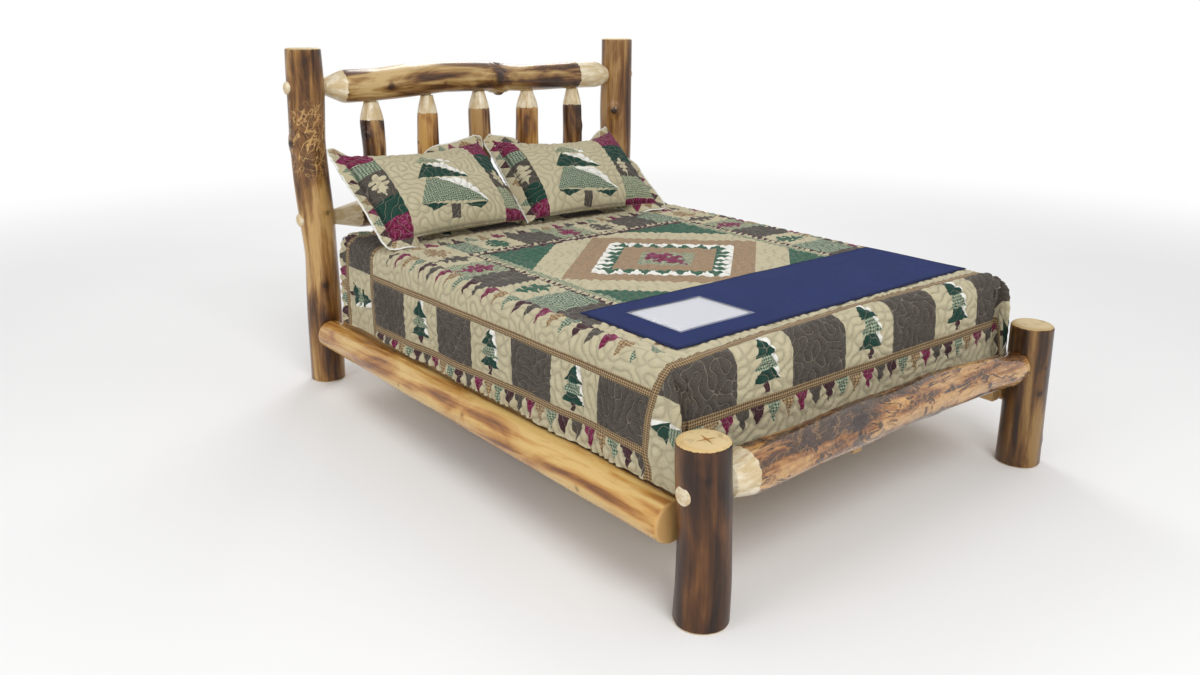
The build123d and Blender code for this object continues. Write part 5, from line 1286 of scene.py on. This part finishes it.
along = choose(1 - edge_x.over(edge_y), flat_x, flat_y)
rise = (SHAM_FLANGE - edge) / 0.040
flange = sawteeth(f, cloths, along / 0.056, (1 - rise) * 0.5,
                  ["taupe", "plum", "green check", "burgundy", "tan check"])
colour = f.mix(edge.under(SHAM_FLANGE - 0.006), colour, flange)
bound = edge.under(0.0075)
seam = abs(edge - SHAM_FLANGE)
# Painted shade along the stitched seam where the panel meets the flange.
colour = f.mix(seam.ramp(0.0, 0.005, 0.5, 0.0), colour, dye("2A231C"), "MULTIPLY")
thread = abs(stitch).under(0.0010)
# Painted shade: the cloth darkens towards the meander stitch lines, where the quilting dips.
colour = quilted(f, colour, abs(stitch).ramp(0.0, 0.0070, 1.0, 0.0), thread, 0.20, 0.40, 0.7)
colour = f.mix(outer_face, dye("C2B796"), f.mix(bound, colour, cloths["white"]))
place = f.join(flat_x, flat_y)
cloth_height = (f.noise(place, 900, 2, 0.7) * 0.10 + f.noise(place, 60, 4, 0.6) * 0.8 - thread * 0.3
                + bound * 0.5)
sham_finish = f.surface(Base_Color=colour, Roughness=0.90, Specular_IOR_Level=0.2, Sheen_Weight=0.12,
                        Sheen_Roughness=0.5, Normal=f.bump(cloth_height, 0.0030))
f = Finish("pillow_cotton")
place = f.place()
pillow_finish = f.surface(
    Base_Color=f.mix(f.noise(place, 12, 3), dye("DEDBD2"), dye("EEECE6")), Roughness=0.9,
    Specular_IOR_Level=0.2, Normal=f.bump(f.noise(place, 420, 2, 0.6), 0.0006))
NO_FOLD = (-9, -9, 0.0)
for side_name, place_x, swing, seed, pattern_shift, folds in (
        ("left", -0.410, radians(5), 31, (0.0, 0.0), {
            "low": (-0.16, 0.40, radians(133)), "high": (-0.20, 0.02, radians(95)), "left": NO_FOLD,
            "right": (-0.40, 0.20, radians(60)), "full": (0.024, 0.026, 0.020), "sag": 0.050}),
        ("right", 0.303, radians(-4), 47, (0.034, 0.014), {
            "low": (-0.40, 0.14, radians(133)), "high": (-0.12, 0.16, radians(95)),
            "left": (-0.40, 0.40, radians(35)), "right": (0.10, 0.40, radians(50)),
            "full": (0.024, 0.0, 0.0), "sag": 0.066})):
    leaning = sham_frame((place_x, SHAM_Y, SHAM_Z), swing)
    body = f"{side_name}_pillow_body"
    pillow_piece(f"{side_name}_sham_pieced", f"{side_name}_sham", body, "sham_cotton", sham_finish,
                 leaning, folds, True, seed, 122, 100, pattern_shift)
    pillow_piece(f"{side_name}_pillow_plump", f"{side_name}_pillow", body, "pillow_fill", pillow_finish,
                 leaning, folds, False, seed, 56, 46)

# Foot mat
# A closely woven navy mat with a stitched hem, laid across the foot of the quilt, and on it a clear vinyl
# pocket, welded round its rim, that holds a blank card.

MAT_X, MAT_Y, MAT_TURN, MAT_HALF_X, MAT_HALF_Y = 0.033, -0.6914, radians(1), 0.6925, 0.2125
MAT_UNDER, MAT_THICK, MAT_STEP = 0.6478, 0.0024, 0.011
CARD_X, CARD_HALF_X, CARD_HALF_Y, POCKET_BORDER = -0.441, 0.1397, 0.10795, 0.011


def on_mat(x, y, z):
    """Points given in the mat's own plane, turned and moved to their place on the bed."""
    return np.stack([MAT_X + x * cos(MAT_TURN) - y * sin(MAT_TURN),
                     MAT_Y + x * sin(MAT_TURN) + y * cos(MAT_TURN), z], -1)


def slab(name, node, slot_name, finish, half_x, half_y, centre_x, under, top, step, rim=0.0):
    """A thin laid sheet: an upper and a lower grid joined round the rim. Both heights are functions of the
    place, and the upper face rounds down over the rim's width."""
    count_x, count_y = (max(2, round(2 * half / step)) + 1 for half in (half_x, half_y))
    x, y = np.meshgrid(centre_x + np.linspace(-half_x, half_x, count_x),
                       np.linspace(-half_y, half_y, count_y))
    edge = np.minimum(half_x - np.abs(x - centre_x), half_y - np.abs(y))
    low, high = under(x, y), top(x, y)
    if rim:
        high = low + (high - low) * (0.35 + 0.65 * smooth_step(edge, 0, rim))
    upper = np.arange(x.size).reshape(x.shape)
    ring = np.concatenate([upper[0, :-1], upper[:-1, -1], upper[-1, :0:-1], upper[:0:-1, 0]])
    after = np.roll(ring, -1)
    sides = np.stack([ring, ring + x.size, after + x.size, after], -1).tolist()
    points = np.vstack([on_mat(x, y, height).reshape(-1, 3) for height in (high, low)])
    piece = mesh_object(name, points, grid_quads(upper) + grid_quads(upper + x.size, True) + sides, finish)
    keep_vectors(piece, "cloth", *(np.tile(values.ravel(), 2) for values in (x, y, edge)))
    stand_in(piece, "foot_mat_body", slot_name, node)
    return piece


def mat_lie(x, y):
    """The mat's underside: flat on the quilt, with a faint rise and fall."""
    return MAT_UNDER + 0.0009 * np.sin(x * 9.0 + 1) * np.sin(y * 13.0) + 0.0006 * np.sin(x * 21 + 4 * y)


f = Finish("navy_weave")
x, y, edge = f.split(f.attribute("cloth"))
weft, warp = (x * (2 * pi / 0.0016)).math("SINE"), (y * (2 * pi / 0.0016)).math("SINE")
cloth_place = f.join(x, y)
shade = f.noise(cloth_place, 5, 3)
hem, hem_line = edge.under(0.013), abs(edge - 0.0125).under(0.0010)
lint = f.noise(cloth_place, 260, 2).over(0.72, 0.02)
navy = f.laid(dye("1E2C62"), (shade, dye("2A3C78")), ((weft * warp).ramp(-1, 1) * 0.25, dye("141C44")),
              (hem * 0.55, dye("10173A")), (hem_line * 0.6, dye("080C22")), (lint * 0.10, dye("8088A8")))
navy_finish = f.surface(
    Base_Color=navy, Roughness=0.90, Specular_IOR_Level=0.15, Sheen_Weight=0.03,
    Normal=f.bump(weft * warp * 0.35 + shade * 0.6 + hem * 0.5 - hem_line * 0.5, 0.0012))
mat = slab("navy_foot_mat", "foot_mat", "mat_cotton", navy_finish, MAT_HALF_X, MAT_HALF_Y, 0.0,
           mat_lie, lambda x, y: mat_lie(x, y) + MAT_THICK, MAT_STEP, 0.012)

f = Finish("card_stock")
x, y, edge = f.split(f.attribute("cloth"))
fibre = f.noise(f.join(x, y), 300, 3, 0.6)
card_finish = f.surface(
    Base_Color=f.mix(fibre, dye("C2C4CC"), dye("D0D2D8")), Roughness=0.7, Specular_IOR_Level=0.3,
    Normal=f.bump(fibre, 0.0002))


def card_lie(x, y):
    """The card's underside, on the mat, with a slight bow."""
    return mat_lie(x, y) + MAT_THICK + 0.0001 + 0.0004 * np.cos(x * 11)


slab("plain_card", "blank_card", "card_paper", card_finish, CARD_HALF_X, CARD_HALF_Y, CARD_X,
     card_lie, lambda x, y: card_lie(x, y) + 0.0004, 0.02)

f = Finish("clear_vinyl")
x, y, edge = f.split(f.attribute("cloth"))
weld = edge.under(0.0075).most(abs(edge - 0.0095).under(0.0008))
ripple = f.noise(f.join(x, y), 16, 3, 0.5, 0.6)
vinyl_finish = f.surface(
    Base_Color=f.mix(weld, (0.95, 0.96, 0.98, 1), (0.21, 0.23, 0.35, 1)), Roughness=0.10,
    Alpha=weld * 0.62 + 0.10, Specular_IOR_Level=0.7, Normal=f.bump(ripple * 0.9 + weld * 0.4, 0.0018))
pocket_half_x, pocket_half_y = CARD_HALF_X + POCKET_BORDER, CARD_HALF_Y + POCKET_BORDER
pocket = slab("vinyl_pocket", "card_pocket", "clear_vinyl", vinyl_finish, pocket_half_x, pocket_half_y,
              CARD_X, lambda x, y: card_lie(x, y) + 0.0006, lambda x, y: card_lie(x, y) + 0.0011,
              0.010, 0.010)
